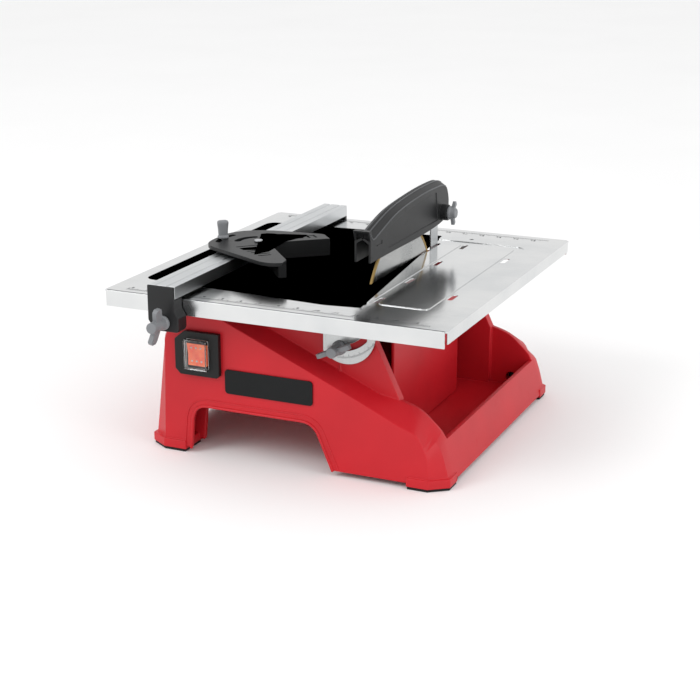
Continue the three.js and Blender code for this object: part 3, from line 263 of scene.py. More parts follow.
def smoothed(obj, angle=CREASE):
    obj.data.shade_smooth()
    obj.data.set_sharp_from_angle(angle=angle)
    return obj


def rounded(obj, width, segments=2, angle=28):
    """Rounds the edges of a piece, and keeps its flat faces flat."""
    smoothed(obj, math.pi)
    edge = obj.modifiers.new("edge", "BEVEL")
    edge.width = width
    edge.segments = segments
    edge.limit_method = "ANGLE"
    edge.angle_limit = math.radians(angle)
    edge.use_clamp_overlap = False
    edge.miter_outer = "MITER_ARC"
    even = obj.modifiers.new("even", "WEIGHTED_NORMAL")
    even.mode = "FACE_AREA"
    even.weight = 50
    return settled(obj)


def revolve(name, profile, finish, sides=64, closed=False):
    """A turned piece about Z from (radius, height) pairs that run bottom to top on the outside."""
    shape = bmesh.new()
    rings = []
    for radius, height in profile:
        if radius < 1e-7:
            rings.append([shape.verts.new((0, 0, height))])
            continue
        angles = [2 * math.pi * i / sides for i in range(sides)]
        rings.append([shape.verts.new((radius * math.cos(a), radius * math.sin(a), height))
                      for a in angles])
    pairs = list(zip(rings, rings[1:] + rings[:1])) if closed else list(zip(rings, rings[1:]))
    for low, high in pairs:
        for i in range(sides):
            j = (i + 1) % sides
            face = [low[i % len(low)], low[j % len(low)], high[j % len(high)], high[i % len(high)]]
            corners = list(dict.fromkeys(face))
            if len(corners) > 2:
                shape.faces.new(corners)
    bmesh.ops.recalc_face_normals(shape, faces=shape.faces)
    return smoothed(as_object(name, shape, finish))


def prism(outline, low, high):
    """An outline of (u, v) points raised from low to high, as a bmesh."""
    shape = bmesh.new()
    bottom = [shape.verts.new((u, v, low)) for u, v in outline]
    top = [shape.verts.new((u, v, high)) for u, v in outline]
    shape.faces.new(bottom[::-1])
    shape.faces.new(top)
    for i in range(len(outline)):
        j = (i + 1) % len(outline)
        shape.faces.new((bottom[i], bottom[j], top[j], top[i]))
    bmesh.ops.recalc_face_normals(shape, faces=shape.faces)
    return shape


def moved(obj, matrix):
    """Places a piece by moving its mesh, so that its object stays at the origin."""
    obj.data.transform(matrix)
    if matrix.determinant() < 0:
        obj.data.flip_normals()
    return obj


def joined(name, pieces):
    """One object that holds the meshes of several."""
    with bpy.context.temp_override(active_object=pieces[0], selected_editable_objects=pieces):
        bpy.ops.object.join()
    pieces[0].name = name
    pieces[0].data.name = name
    return pieces[0]


def track(name, points, cyclic=False):
    """A polyline that a recipe follows. It is removed once the piece is made."""
    curve = bpy.data.curves.new(name, "CURVE")
    curve.dimensions = "3D"
    spline = curve.splines.new("POLY")
    spline.points.add(len(points) - 1)
    for point, place in zip(spline.points, points):
        point.co = (*place, 1.0)
    spline.use_cyclic_u = cyclic
    return linked(name, curve)


def spots(name, places):
    mesh = bpy.data.meshes.new(name)
    mesh.from_pydata([tuple(p) for p in places], [], [])
    return linked(name, mesh)


def drop(*objects):
    for obj in objects:
        bpy.data.objects.remove(obj)


def ride(obj, body, *nodes, slot=None):
    """Hands a finished piece to the body it moves with, in place of the nodes it stands for."""
    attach(obj, body)
    if nodes:
        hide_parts(*nodes)
    return obj


def middle(node):
    low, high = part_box(node)
    return (low + high) / 2


# ---------------------------------------------------------------- places taken from the frame

BLADE_LOW, BLADE_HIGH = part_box("blade_rim")
HUB = (BLADE_LOW + BLADE_HIGH) / 2
BLADE_RADIUS = (BLADE_HIGH.z - BLADE_LOW.z) / 2
TABLE_LOW, TABLE_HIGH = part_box("table_top")
FACE_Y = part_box("name_plate")[1].y + 0.3 * MM
DESIGN_Y = HUB.y - 10 * MM        # how far the packed frame is moved along Y


def at(x, y, z):
    """A point given in millimetres of the design's own frame."""
    return Vector((x * MM, y * MM + DESIGN_Y, z * MM))


# ---------------------------------------------------------------- finishes

def moulded(name, colour, shade, roughness, grain=1800, depth=0.03 * MM):
    """Moulded plastic: eroded grain, faint flow marks and light scuffs."""
    made = Finish(name, Specular_IOR_Level=0.32)
    fine = made.noise(grain, detail=4)
    cloud = made.noise(11, detail=2)
    scuff = made.noise(60, detail=6, roughness=0.7).ramp(0.56, 0.74)
    made.feed(Base_Color=made.mix(colour, shade, cloud.ramp(0.3, 0.75)),
              Roughness=(fine - 0.5) * 0.16 + scuff * 0.06 + roughness,
              Normal=made.relief(fine, depth, 0.55))
    return made.material


def sheet_metal(name, colour, shade, roughness, lines, depth, tilt=(0, 0, 0)):
    """Rolled or brushed metal: fine lines along one axis over a slow cloud of wear."""
    made = Finish(name, Metallic=1.0)
    line = made.noise(1.0, detail=3, where=made.place(scale=lines, turn=tilt))
    cloud = made.noise(13, detail=3)
    wear = cloud.ramp(0.3, 0.8)
    made.feed(Base_Color=made.mix(colour, shade, line * 0.55 + wear * 0.45),
              Roughness=line * 0.07 + wear * 0.05 + roughness,
              Normal=made.relief(line, depth, 0.5))
    return made.material


def turned_steel(name, colour, shade, roughness, centre):
    """A ground disc: rings round the X axis through its centre."""
    made = Finish(name, Metallic=1.0)
    parts = made.tree.nodes.new("ShaderNodeSeparateXYZ")
    made.plug(parts.inputs[0], made.place(centre=centre))
    along, up = Flow(made, parts.outputs["Y"]), Flow(made, parts.outputs["Z"])
    radius = (along * along + up * up) ** 0.5
    ring = made.node("ShaderNodeTexNoise", {"noise_dimensions": "1D"},
                     {"W": radius * 900.0, "Scale": 1.0, "Detail": 4.0})
    cloud = made.noise(16, detail=3).ramp(0.35, 0.75)
    made.feed(Base_Color=made.mix(colour, shade, ring * 0.5 + cloud * 0.5),
              Roughness=ring * 0.1 + cloud * 0.08 + roughness,
              Normal=made.relief(ring, 0.012 * MM, 0.5))
    return made.material


def grit(name, colour, shade):
    """Sintered diamond grit in a bronze matrix."""
    made = Finish(name, Metallic=0.35)
    grain = made.cells(1500)
    made.feed(Base_Color=made.mix(colour, shade, made.noise(700, detail=5)),
              Roughness=grain * 0.3 + 0.5,
              Normal=made.relief(grain, 0.12 * MM))
    return made.material


def rubber():
    made = Finish("foot_rubber", Specular_IOR_Level=0.3)
    grain = made.noise(900, detail=5)
    made.feed(Base_Color=made.mix(rgb("151515"), rgb("242424"), grain),
              Roughness=grain * 0.15 + 0.75,
              Normal=made.relief(grain, 0.06 * MM))
    return made.material


def lamp_plastic():
    """The lit rocker: orange, a little uneven where the lamp sits behind it."""
    made = Finish("rocker_lit_orange", Coat_Weight=0.5, Coat_Roughness=0.08, Emission_Strength=0.25)
    glow = made.noise(120, detail=2)
    hue = made.mix(rgb("f2502a"), rgb("ff7a45"), glow.ramp(0.35, 0.7))
    made.feed(Base_Color=hue, Emission_Color=hue, Roughness=glow * 0.08 + 0.22)
    return made.material


def clear_boot():
    made = Finish("boot_clear", Transmission_Weight=1.0, IOR=1.42)
    haze = made.noise(90, detail=3)
    made.feed(Base_Color=made.mix(rgb("ffffff"), rgb("eef2f2"), haze),
              Roughness=haze * 0.06 + 0.02,
              Normal=made.relief(haze, 0.05 * MM, 0.3))
    return made.material


def plate_gloss():
    made = Finish("plate_satin_black", Specular_IOR_Level=0.22)
    grain = made.noise(1400, detail=3)
    made.feed(Base_Color=made.mix(rgb("0b0d0e"), rgb("121415"), made.noise(20)),
              Roughness=grain * 0.1 + 0.36,
              Normal=made.relief(grain, 0.015 * MM))
    return made.material


def laminations(name):
    """Stacked iron sheets, seen edge on along X."""
    made = Finish(name, Metallic=0.9)
    layers = made.node("ShaderNodeTexWave", {"bands_direction": "X"},
                       {"Vector": made.place(), "Scale": 160.0, "Distortion": 0.2})
    made.feed(Base_Color=made.mix(rgb("45474a"), rgb("6b6d70"), layers),
              Roughness=layers * 0.2 + 0.42, Normal=made.relief(layers, 0.08 * MM))
    return made.material


MATERIALS = {}


def paint(look):
    """Makes every finish once, from the colours on the panel."""
    red = (*look.housing_red, 1.0)
    deep = tuple(0.86 * c for c in look.housing_red) + (1.0,)
    steel = (*look.sheet_grey, 1.0)
    MATERIALS.update(
        red=moulded("housing_red_plastic", red, deep, 0.40),
        # Lighter grey for the guard's ridge and shoulder beads: a painted highlight on the one black
        # moulding.
        black_lip=moulded("charcoal_lip", rgb("55575a"), rgb("47494b"), 0.35),
        black=moulded("charcoal_plastic", rgb("222324"), rgb("19191a"), 0.42),
        jet=moulded("jet_plastic", rgb("121313"), rgb("0c0d0d"), 0.42),
        grey=moulded("knob_grey_plastic", rgb("85878a"), rgb("77797c"), 0.42, grain=1300),
        white=moulded("capacitor_plastic", rgb("dcd9d0"), rgb("cfccc2"), 0.4),
        sheet=sheet_metal("polished_table_sheet", steel, rgb("c3c6c8"), 0.10,
                          (14, 1500, 14), 0.004 * MM),
        rail=sheet_metal("brushed_rail", rgb("d3d5d6"), rgb("bfc2c4"), 0.24,
                         (1400, 10, 1400), 0.01 * MM),
        bracket=sheet_metal("quadrant_steel", rgb("c2c4c4"), rgb("a9abab"), 0.22,
                            (1200, 1200, 14), 0.01 * MM),
        zinc=sheet_metal("zinc_plate", rgb("c6c8ca"), rgb("a4a7aa"), 0.28,
                         (300, 300, 300), 0.01 * MM),
        can=sheet_metal("motor_can_steel", rgb("8a8d90"), rgb("707376"), 0.34,
                        (12, 700, 700), 0.01 * MM),
        # Dark grey for the printed ruler and quadrant marks, and for a painted dark reflection along
        # the table's front fold.
        crease=sheet_metal("fold_shadow", rgb("4a4d50"), rgb("393b3d"), 0.35,
                           (200, 200, 200), 0.005 * MM),
        blade=turned_steel("ground_blade_steel", rgb("d0d0ce"), rgb("aeb0b0"), 0.16, HUB),
        flange=turned_steel("turned_flange_steel", rgb("85888b"), rgb("6c6f72"), 0.24, HUB),
        grit=grit("diamond_rim", rgb("b8995a"), rgb("8d7442")),
        rubber=rubber(),
        rocker=lamp_plastic(),
        boot=clear_boot(),
        plate=plate_gloss(),
        print=moulded("rocker_print", rgb("f4f1ec"), rgb("e8e4dc"), 0.5),
        iron=laminations("stacked_iron"),
    )


# ---------------------------------------------------------------- recipes

RECIPES = {}


def tick_row():
    """Marks along a line: every tenth one is long, and every fifth one is middling."""
    made = Recipe("tick_row", start=("Vector", (0, 0, 0)), step=("Vector", (0.001, 0, 0)),
                  count=("Int", 10), width=("Float", 0.0003), length=("Float", 0.003),
                  height=("Float", 0.0002))
    row = made.node("GeometryNodeMeshLine", {"mode": "OFFSET"},
                    {"Count": made.given("count"), "Start Location": made.given("start"),
                     "Offset": made.given("step")})
    size = made.node("ShaderNodeCombineXYZ", None, {"X": made.given("width"),
                     "Y": made.given("length"), "Z": made.given("height")})
    bar = made.node("GeometryNodeMeshCube", None, {"Size": size})
    half = made.node("ShaderNodeCombineXYZ", None, {"Y": made.given("length") * 0.5})
    bar = made.node("GeometryNodeTransform", None, {"Geometry": bar, "Translation": half})
    stretch = made.node("ShaderNodeCombineXYZ", None, {"X": 1.0, "Y": tick_length(made), "Z": 1.0})
    rows = made.node("GeometryNodeInstanceOnPoints", None,
                     {"Points": row, "Instance": bar, "Scale": stretch})
    return made.close(rows)


def tick_length(made):
    index = made.node("GeometryNodeInputIndex")
    tenth = index.math("MODULO", 10.0).math("LESS_THAN", 0.5)
    fifth = index.math("MODULO", 5.0).math("LESS_THAN", 0.5)
    return tenth * 0.25 + fifth * 0.25 + 0.5


def tick_arc():
    """Degree marks round a centre in an upright plane, pointing inwards."""
    made = Recipe("tick_arc", centre=("Vector", (0, 0, 0)), radius=("Float", 0.03),
                  first=("Float", 0.0), step=("Float", 0.0175), count=("Int", 10),
                  width=("Float", 0.0003), length=("Float", 0.003), height=("Float", 0.0002))
    row = made.node("GeometryNodeMeshLine", {"mode": "OFFSET"}, {"Count": made.given("count")})
    index = made.node("GeometryNodeInputIndex")
    angle = index * made.given("step") + made.given("first")
    reach = made.given("radius")
    spot = made.node("ShaderNodeCombineXYZ", None,
                     {"X": angle.math("COSINE") * reach, "Z": angle.math("SINE") * reach})
    spot = made.node("ShaderNodeVectorMath", {"operation": "ADD"}, {0: spot, 1: made.given("centre")})
    row = made.node("GeometryNodeSetPosition", None, {"Geometry": row, "Position": spot})
    size = made.node("ShaderNodeCombineXYZ", None, {"X": made.given("length"),
                     "Y": made.given("height"), "Z": made.given("width")})
    bar = made.node("GeometryNodeMeshCube", None, {"Size": size})
    half = made.node("ShaderNodeCombineXYZ", None, {"X": made.given("length") * -0.5})
    bar = made.node("GeometryNodeTransform", None, {"Geometry": bar, "Translation": half})
    turn = made.node("ShaderNodeCombineXYZ", None, {"Y": angle * -1.0})
    stretch = made.node("ShaderNodeCombineXYZ", None, {"X": tick_length(made), "Y": 1.0, "Z": 1.0})
    rows = made.node("GeometryNodeInstanceOnPoints", None,
                     {"Points": row, "Instance": bar, "Rotation": turn, "Scale": stretch})
    return made.close(rows)


def bead():
    """A round bead along a track."""
    made = Recipe("bead", path=("Object", None), radius=("Float", 0.001), sides=("Int", 10))
    ring = made.node("GeometryNodeCurvePrimitiveCircle", None,
                     {"Resolution": made.given("sides"), "Radius": made.given("radius")})
    swept = made.node("GeometryNodeCurveToMesh", None,
                      {"Curve": made.solid("path"), "Profile Curve": ring, "Fill Caps": True})
    smooth = made.node("GeometryNodeSetShadeSmooth", None, {"Geometry": swept})
    return made.close(smooth)


def copies():
    """One pattern piece on every spot, turned the same way."""
    made = Recipe("copies", places=("Object", None), pattern=("Object", None),
                  turn=("Vector", (0, 0, 0)), size=("Float", 1.0))
    rows = made.node("GeometryNodeInstanceOnPoints", None,
                     {"Points": made.solid("places"), "Instance": made.solid("pattern"),
                      "Rotation": made.given("turn"), "Scale": made.given("size")})
    return made.close(rows)


def recipe(maker):
    if maker.__name__ not in RECIPES:
        RECIPES[maker.__name__] = maker()
    return RECIPES[maker.__name__]


def beaded(name, points, radius, finish, cyclic=False, sides=10):
    path = track(name + "_track", points, cyclic)
    made = recipe(bead).make(name, path=path, radius=radius, sides=sides, material=finish)
    drop(path)
    return made


# ---------------------------------------------------------------- housing

def arch_points(offset, y):
    """The arch under an end wall, moved outwards by offset, from the left foot to the right one."""
    corners = [(-112.6, 5), (-109.5, 38), (-108, 56), (-92, 56),
               (22, 56), (37, 56), (42.5, 41), (58, 5)]
    line = [Vector(corners[0])]
    line += curved(corners[1], corners[2], corners[3])
    line += curved(corners[4], corners[5], corners[6])
    line.append(Vector(corners[7]))
    out = []
    for i, here in enumerate(line):
        before, after = line[max(i - 1, 0)], line[min(i + 1, len(line) - 1)]
        run = (after - before).normalized()
        place = at(here.x - run.y * offset, 0, here.y + run.x * offset)
        out.append(Vector((place.x, y, place.z)))
    return out


def curved(start, control, end, steps=10):
    a, b, c = Vector(start), Vector(control), Vector(end)
    return [a * (1 - t) ** 2 + b * 2 * t * (1 - t) + c * t ** 2
            for t in (i / steps for i in range(steps + 1))]


def make_housing(look):
    shell = as_object("housing", merged("base_housing"), MATERIALS["red"])
    ride(rounded(shell, look.housing_edge), "base", "base_housing", slot="red_plastic")
    rear_face = 2 * at(0, 0, 0).y - FACE_Y
    for side, y in (("front", FACE_Y), ("rear", rear_face)):
        lip = beaded(f"arch_lip_{side}", arch_points(1.2, y), 1.7 * MM, MATERIALS["red"])
        ride(lip, "base", slot="red_plastic")
        line = beaded(f"arch_line_{side}", arch_points(8.5, y), 0.8 * MM, MATERIALS["red"])
        ride(line, "base", slot="red_plastic")


# ---------------------------------------------------------------- carried-over nodes

# node: (finish, edge radius in millimetres, slot)
ROUNDED = {
    "splash_shield": ("red", 1.2, "red_plastic"),
    "foot_front_left": ("rubber", 0.5, "black_rubber"),
    "foot_front_right": ("rubber", 0.5, "black_rubber"),
    "foot_rear_left": ("rubber", 0.5, "black_rubber"),
    "foot_rear_right": ("rubber", 0.5, "black_rubber"),
    "table_rest_front": ("rubber", 0.6, "black_rubber"),
    "table_rest_rear": ("rubber", 0.6, "black_rubber"),
    "drain_plug": ("rubber", 0.8, "black_rubber"),
    "cord_gland": ("black", 0.5, "black_plastic"),
    "switch_frame": ("jet", 0.9, "black_plastic"),
    "name_plate": ("plate", 0.5, "black_plastic"),
    "motor_can": ("can", 1.2, "dark_steel"),
    "motor_bracket": ("zinc", 0.5, "zinc_steel"),
    "run_capacitor": ("white", 1.0, "white_plastic"),
    "capacitor_clip": ("zinc", 0.4, "zinc_steel"),
    "splitter": ("rail", 0.25, "dark_steel"),
    "splitter_bracket": ("zinc", 0.8, "zinc_steel"),
    "splitter_screw_lower": ("zinc", 0.4, "zinc_steel"),
    "splitter_screw_upper": ("zinc", 0.4, "zinc_steel"),
    "guard_bolt": ("zinc", 0.4, "zinc_steel"),
    "guard_left": ("black", 0.45, "black_plastic"),
    "guard_right": ("black", 0.45, "black_plastic"),
    "hinge_screw_front": ("zinc", 0.4, "zinc_steel"),
    "hinge_screw_rear": ("zinc", 0.4, "zinc_steel"),
    "bevel_bolt_front": ("zinc", 0.3, "zinc_steel"),
    "bevel_bolt_rear": ("zinc", 0.3, "zinc_steel"),
    "bevel_bracket_front": ("bracket", 0.35, "zinc_steel"),
    "bevel_bracket_rear": ("bracket", 0.35, "zinc_steel"),
    "arbor_nut": ("zinc", 0.5, "zinc_steel"),
    "outer_flange": ("flange", 0.5, "dark_steel"),
    "inner_flange": ("flange", 0.5, "dark_steel"),
    "table_top": ("sheet", 0.22, "stainless_sheet"),
    "fence_rail": ("rail", 0.5, "fence_aluminium"),
    "fence_clamp": ("black", 1.2, "black_plastic"),
    "fence_hook": ("black", 1.2, "black_plastic"),
    "fence_jaw": ("zinc", 0.4, "zinc_steel"),
    "fence_bolt": ("zinc", 0.3, "zinc_steel"),
    "gauge_saddle": ("black", 0.8, "black_plastic"),
    "gauge_head": ("black", 0.25, "black_plastic"),
    "gauge_bolt": ("zinc", 0.3, "zinc_steel"),
    "gauge_pivot_screw": ("zinc", 0.7, "zinc_steel"),
}

PLAIN = {
    "motor_stator": "iron", "motor_rotor": "iron", "bearing_rear": "zinc",
    "bearing_front": "zinc", "hinge_spacer_front": "zinc", "hinge_spacer_rear": "zinc",
    "guard_spacer_left": "zinc", "guard_spacer_right": "zinc", "arbor_shaft": "zinc",
}

BODY_OF = {node: body for body, nodes in frame["record"]["behaviour"]["bodies"].items()
           for node in nodes}


def make_rounded(names):
    for node in names:
        finish, radius, slot = ROUNDED[node]
        piece = as_object(node + "_finished", merged(node), MATERIALS[finish])
        ride(rounded(piece, radius * MM), BODY_OF[node], node, slot=slot)


def make_plain():
    for node, finish in PLAIN.items():
        data = frame["nodes"][node].data
        data.materials.clear()
        data.materials.append(MATERIALS[finish])


# ---------------------------------------------------------------- knobs

def wing_knob(name, span, length, look, finish):
    """A tapered hub with a round end cap, a collar and two swept wings, blended like a casting."""
    hub = revolve(name + "_hub", [
        (0, 0), (8 * MM, 0), (8 * MM, 2.4 * MM), (6.6 * MM, 4 * MM),
        (5.9 * MM, length * 0.8), (6.1 * MM, length - 1.2 * MM), (5.3 * MM, length), (0, length)],
        finish, sides=40)
    tip = 3.4 * MM
    outline = []
    for side in (1, -1):
        outer = [(5 * MM, 0.30 * length), (span - tip, 0.44 * length), (span, 0.52 * length),
                 (span, 0.80 * length), (span - tip, 0.90 * length), (5 * MM, 0.74 * length)]
        run = outer if side == 1 else outer[::-1]
        outline += [(side * x, z) for x, z in run]
    half = look.wing_thickness / 2
    wing = as_object(name + "_wing", prism(outline, -half, half), finish)
    moved(wing, Matrix.Rotation(math.radians(90), 4, "X"))
    knob = joined(name, [hub, wing])
    return blended(knob, look.knob_voxel)


def blended(obj, voxel):
    """Melts overlapping solids into one skin with soft inner corners."""
    skin = obj.modifiers.new("skin", "REMESH")
    skin.mode = "VOXEL"
    skin.voxel_size = voxel
    skin.use_smooth_shade = True
    ease = obj.modifiers.new("ease", "SMOOTH")
    ease.factor = 0.5
    ease.iterations = 5
    finish = obj.data.materials[0]
    settled(obj)
    obj.data.materials.clear()
    obj.data.materials.append(finish)
    obj.data.shade_smooth()
    return obj


def turned(about_x, about_y):
    """A turn about X and then Y, in degrees."""
    angles = (math.radians(about_x), math.radians(about_y), 0)
    return Euler(angles).to_matrix().to_4x4()


def make_wing_knobs(look):
    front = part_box("bevel_knob_front")[1].y
    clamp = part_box("fence_knob")[1].y
    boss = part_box("guard_knob")[0].x
    tilt_x, tilt_z = middle("bevel_bolt_front").x, middle("bevel_bolt_front").z
    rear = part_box("bevel_knob_rear")[0].y
    lock = middle("fence_bolt")
    lift = middle("guard_bolt")
    # node: span and length in millimetres, foot of the hub, and how the knob is turned
    knobs = {
        "bevel_knob_front": (20, 22, (tilt_x, front, tilt_z), turned(90, -22)),
        "bevel_knob_rear": (20, 22, (tilt_x, rear, tilt_z), turned(-90, -22)),
        "fence_knob": (20, 26, (lock.x, clamp, lock.z), turned(90, -78)),
        "guard_knob": (14, 9.5, (boss, lift.y, lift.z), turned(-10, 0) @ turned(0, 90)),
    }
    for node, (span, length, base, rotation) in knobs.items():
        knob = wing_knob(node + "_cast", span * MM, length * MM, look, MATERIALS["grey"])
        moved(knob, Matrix.Translation(base) @ rotation)
        ride(knob, BODY_OF[node], node, slot="grey_plastic")


def make_gauge_knob(look):
    """A flattened, tapering knob with a domed top."""
    low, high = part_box("gauge_knob")
    base = Vector((middle("gauge_bolt").x, middle("gauge_bolt").y, low.z))
    length = high.z - low.z
    rings = [(6.4, 5.4, 0.0), (6.4, 5.4, 0.10), (5.4, 3.9, 0.16), (5.8, 3.9, 0.5),
             (6.7, 4.0, 0.86), (6.2, 3.5, 0.95), (4.2, 2.0, 1.0)]
    shape = bmesh.new()
    loops = []
    for half_w, half_t, share in rings:
        loops.append([shape.verts.new(place) for place in rounded_ring(half_w, half_t, share * length)])
    for under, over in zip(loops, loops[1:]):
        for i in range(len(under)):
            j = (i + 1) % len(under)
            shape.faces.new((under[i], under[j], over[j], over[i]))
    shape.faces.new(loops[0][::-1])
    shape.faces.new(loops[-1])
    bmesh.ops.recalc_face_normals(shape, faces=shape.faces)
    knob = as_object("gauge_knob_cast", shape, MATERIALS["grey"])
    blended(knob, look.knob_voxel)
    moved(knob, Matrix.Translation(base) @ Matrix.Rotation(math.radians(40), 4, "Z"))
    ride(knob, BODY_OF["gauge_knob"], "gauge_knob", slot="grey_plastic")


def rounded_ring(half_w, half_t, z, sides=32, power=3.2):
    """A rounded oblong at one height, as a superellipse."""
    places = []
    for i in range(sides):
        a = 2 * math.pi * i / sides
        c, s = math.cos(a), math.sin(a)
        places.append((half_w * MM * math.copysign(abs(c) ** (2 / power), c),
                       half_t * MM * math.copysign(abs(s) ** (2 / power), s), z))
    return places


# ---------------------------------------------------------------- blade

def make_blade():
    core_half = (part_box("blade")[1].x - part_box("blade")[0].x) / 2
    rim_half = (BLADE_HIGH.x - BLADE_LOW.x) / 2
    seat = BLADE_RADIUS - 3.6 * MM
    bore = 12.7 * MM
    facing = Matrix.Translation(HUB) @ Matrix.Rotation(math.radians(90), 4, "Y")
    core = revolve("blade_core", [
        (bore, -core_half), (seat, -core_half), (seat, core_half), (bore, core_half)],
        MATERIALS["blade"], sides=160, closed=True)
    ride(moved(core, facing), "arbor", "blade", slot="dark_steel")
    edge = 0.35 * MM
    rim = revolve("blade_grit_rim", [
        (seat, -rim_half + edge), (seat + edge, -rim_half), (BLADE_RADIUS - edge, -rim_half),
        (BLADE_RADIUS, -rim_half + edge), (BLADE_RADIUS, rim_half - edge),
        (BLADE_RADIUS - edge, rim_half), (seat + edge, rim_half), (seat, rim_half - edge)],
        MATERIALS["grit"], sides=160, closed=True)
    ride(moved(rim, facing), "arbor", "blade_rim", slot="diamond_rim")


# ---------------------------------------------------------------- guard

# Lines of the guard seen from the side: y and height in the design's millimetres
GUARD_RIDGE = [(-94, 242.9), (-72, 250.5), (-20, 261.8), (50, 267), (110, 267), (130, 263)]
GUARD_SHOULDER = [(-99, 248.5), (-91, 241), (-84, 240.8), (-72, 244), (-20, 256.5), (50, 262.2),
                  (110, 262), (128, 259)]


def spline(points, steps=6):
    """A smooth line through points, as a Catmull-Rom spline."""
    line = [Vector(p) for p in points]
    ends = [line[0] * 2 - line[1], *line, line[-1] * 2 - line[-2]]
    out = [line[0]]
    for a, b, c, d in zip(ends, ends[1:], ends[2:], ends[3:]):
        for i in range(1, steps + 1):
            t = i / steps
            out.append((b * 2 + (c - a) * t + (a * 2 - b * 5 + c * 4 - d) * t * t
                        + (b * 3 - a - c * 3 + d) * t ** 3) / 2)
    return out


def make_guard():
    make_rounded(["guard_left", "guard_right"])
    for side, sign in (("left", -1), ("right", 1)):
        for line, reach, radius in (("ridge", 2.6, 0.6), ("shoulder", 9.4, 0.7)):
            points = GUARD_RIDGE if line == "ridge" else GUARD_SHOULDER
            x = HUB.x + sign * reach * MM
            path = [Vector((x, at(0, p.x, 0).y, p.y * MM)) for p in spline(points)]
            name = f"guard_{line}_{side}"
            # The beads take a lighter grey than the guard: painted highlight along its ridge and
            # shoulder.
            line_bead = beaded(name, path, radius * MM, MATERIALS["black_lip"])
            ride(line_bead, "guard", slot="black_plastic")
    ride(notch_shade_mark(), "guard", slot="black_plastic")


def notch_shade_mark():
    """The small L-shaped notch by the mouth."""
    x = HUB.x + 9.5 * MM
    path = [Vector((x, at(0, y, 0).y, z * MM)) for y, z in ((-79, 231.5), (-66, 231), (-65.5, 235))]
    return beaded("guard_notch", path, 0.55 * MM, MATERIALS["jet"])


# ---------------------------------------------------------------- table

RULER_MARGIN = 22 * MM            # from the side edge to the first mark
RULER_INSET = 11 * MM             # from the front or rear edge to the marks
DIGIT_SIZE = 6.5 * MM


def make_table(look):
    make_rounded(["table_top"])
    top = TABLE_HIGH.z
    height = 0.3 * MM
    count = int((TABLE_HIGH.x - TABLE_LOW.x - 2 * RULER_MARGIN) / look.tick_pitch) + 1
    sides = (("front", TABLE_LOW.y + RULER_INSET, 1), ("rear", TABLE_HIGH.y - RULER_INSET, -1))
    for side, y, way in sides:
        scale = recipe(tick_row).make(
            f"ruler_{side}", start=(TABLE_LOW.x + RULER_MARGIN, y, top), step=(look.tick_pitch, 0, 0),
            count=count, width=0.45 * MM, length=7 * MM * way, height=height,
            material=MATERIALS["crease"])
        ride(scale, "table", slot="stainless_sheet")
        ride(numbers(f"ruler_numbers_{side}", y + way * 8 * MM, top, count, look), "table",
             slot="stainless_sheet")
    # A thin dark bead along the front fold: a painted reflection of a dark line on the sheet's rounded
    # edge.
    reflection_line = [(TABLE_LOW.x + 3 * MM, TABLE_LOW.y + 2.2 * MM, top - 0.15 * MM),
            (TABLE_HIGH.x - 3 * MM, TABLE_LOW.y + 2.2 * MM, top - 0.15 * MM)]
    ride(beaded("table_fold_front", reflection_line, 0.45 * MM, MATERIALS["crease"], sides=6), "table",
         slot="stainless_sheet")


def numbers(name, y, top, count, look):
    """Pressed numbers beside the long marks."""
    digits = []
    for tenth in range(0, count, 10):
        text = bpy.data.curves.new(f"{name}_{tenth}", "FONT")
        text.body = str(tenth // 10)
        text.size = DIGIT_SIZE
        text.extrude = 0.12 * MM
        text.align_x = "CENTER"
        text.resolution_u = 2
        digit = linked(text.name, text)
        graph = bpy.context.evaluated_depsgraph_get()
        mesh = bpy.data.meshes.new_from_object(digit.evaluated_get(graph))
        drop(digit)
        made = linked(f"{name}_mesh_{tenth}", mesh)
        x = TABLE_LOW.x + RULER_MARGIN + tenth * look.tick_pitch + 3.2 * MM
        moved(made, Matrix.Translation((x, y - 2.2 * MM, top + 0.03 * MM)))
        mesh.materials.clear()
        mesh.materials.append(MATERIALS["crease"])
        digits.append(made)
    return joined(name, digits)


# ---------------------------------------------------------------- tilt quadrants

def make_quadrants():
    make_rounded(["bevel_bracket_front", "bevel_bracket_rear", "bevel_bolt_front",
                  "bevel_bolt_rear", "hinge_screw_front", "hinge_screw_rear"])
    hinge = Vector((middle("hinge_screw_front").x, 0, middle("hinge_screw_front").z))
    for side in ("front", "rear"):
        face = at(0, -157.5, 0).y if side == "front" else at(0, 157.5, 0).y
        ticks = recipe(tick_arc).make(
            f"quadrant_ticks_{side}", centre=(hinge.x, face, hinge.z), radius=51.5 * MM,
            first=math.radians(-92), step=math.radians(1.5), count=37, width=0.35 * MM,
            length=4 * MM, height=0.25 * MM, material=MATERIALS["crease"])
        ride(ticks, "table", slot="zinc_steel")


# ---------------------------------------------------------------- switch

def make_switch():
    make_rounded(["switch_frame", "name_plate"])
    make_rocker()
    boot = as_object("switch_boot_clear", merged("switch_boot"), MATERIALS["boot"])
    ride(rounded(boot, 0.5 * MM), "base", "switch_boot", slot="clear_boot")


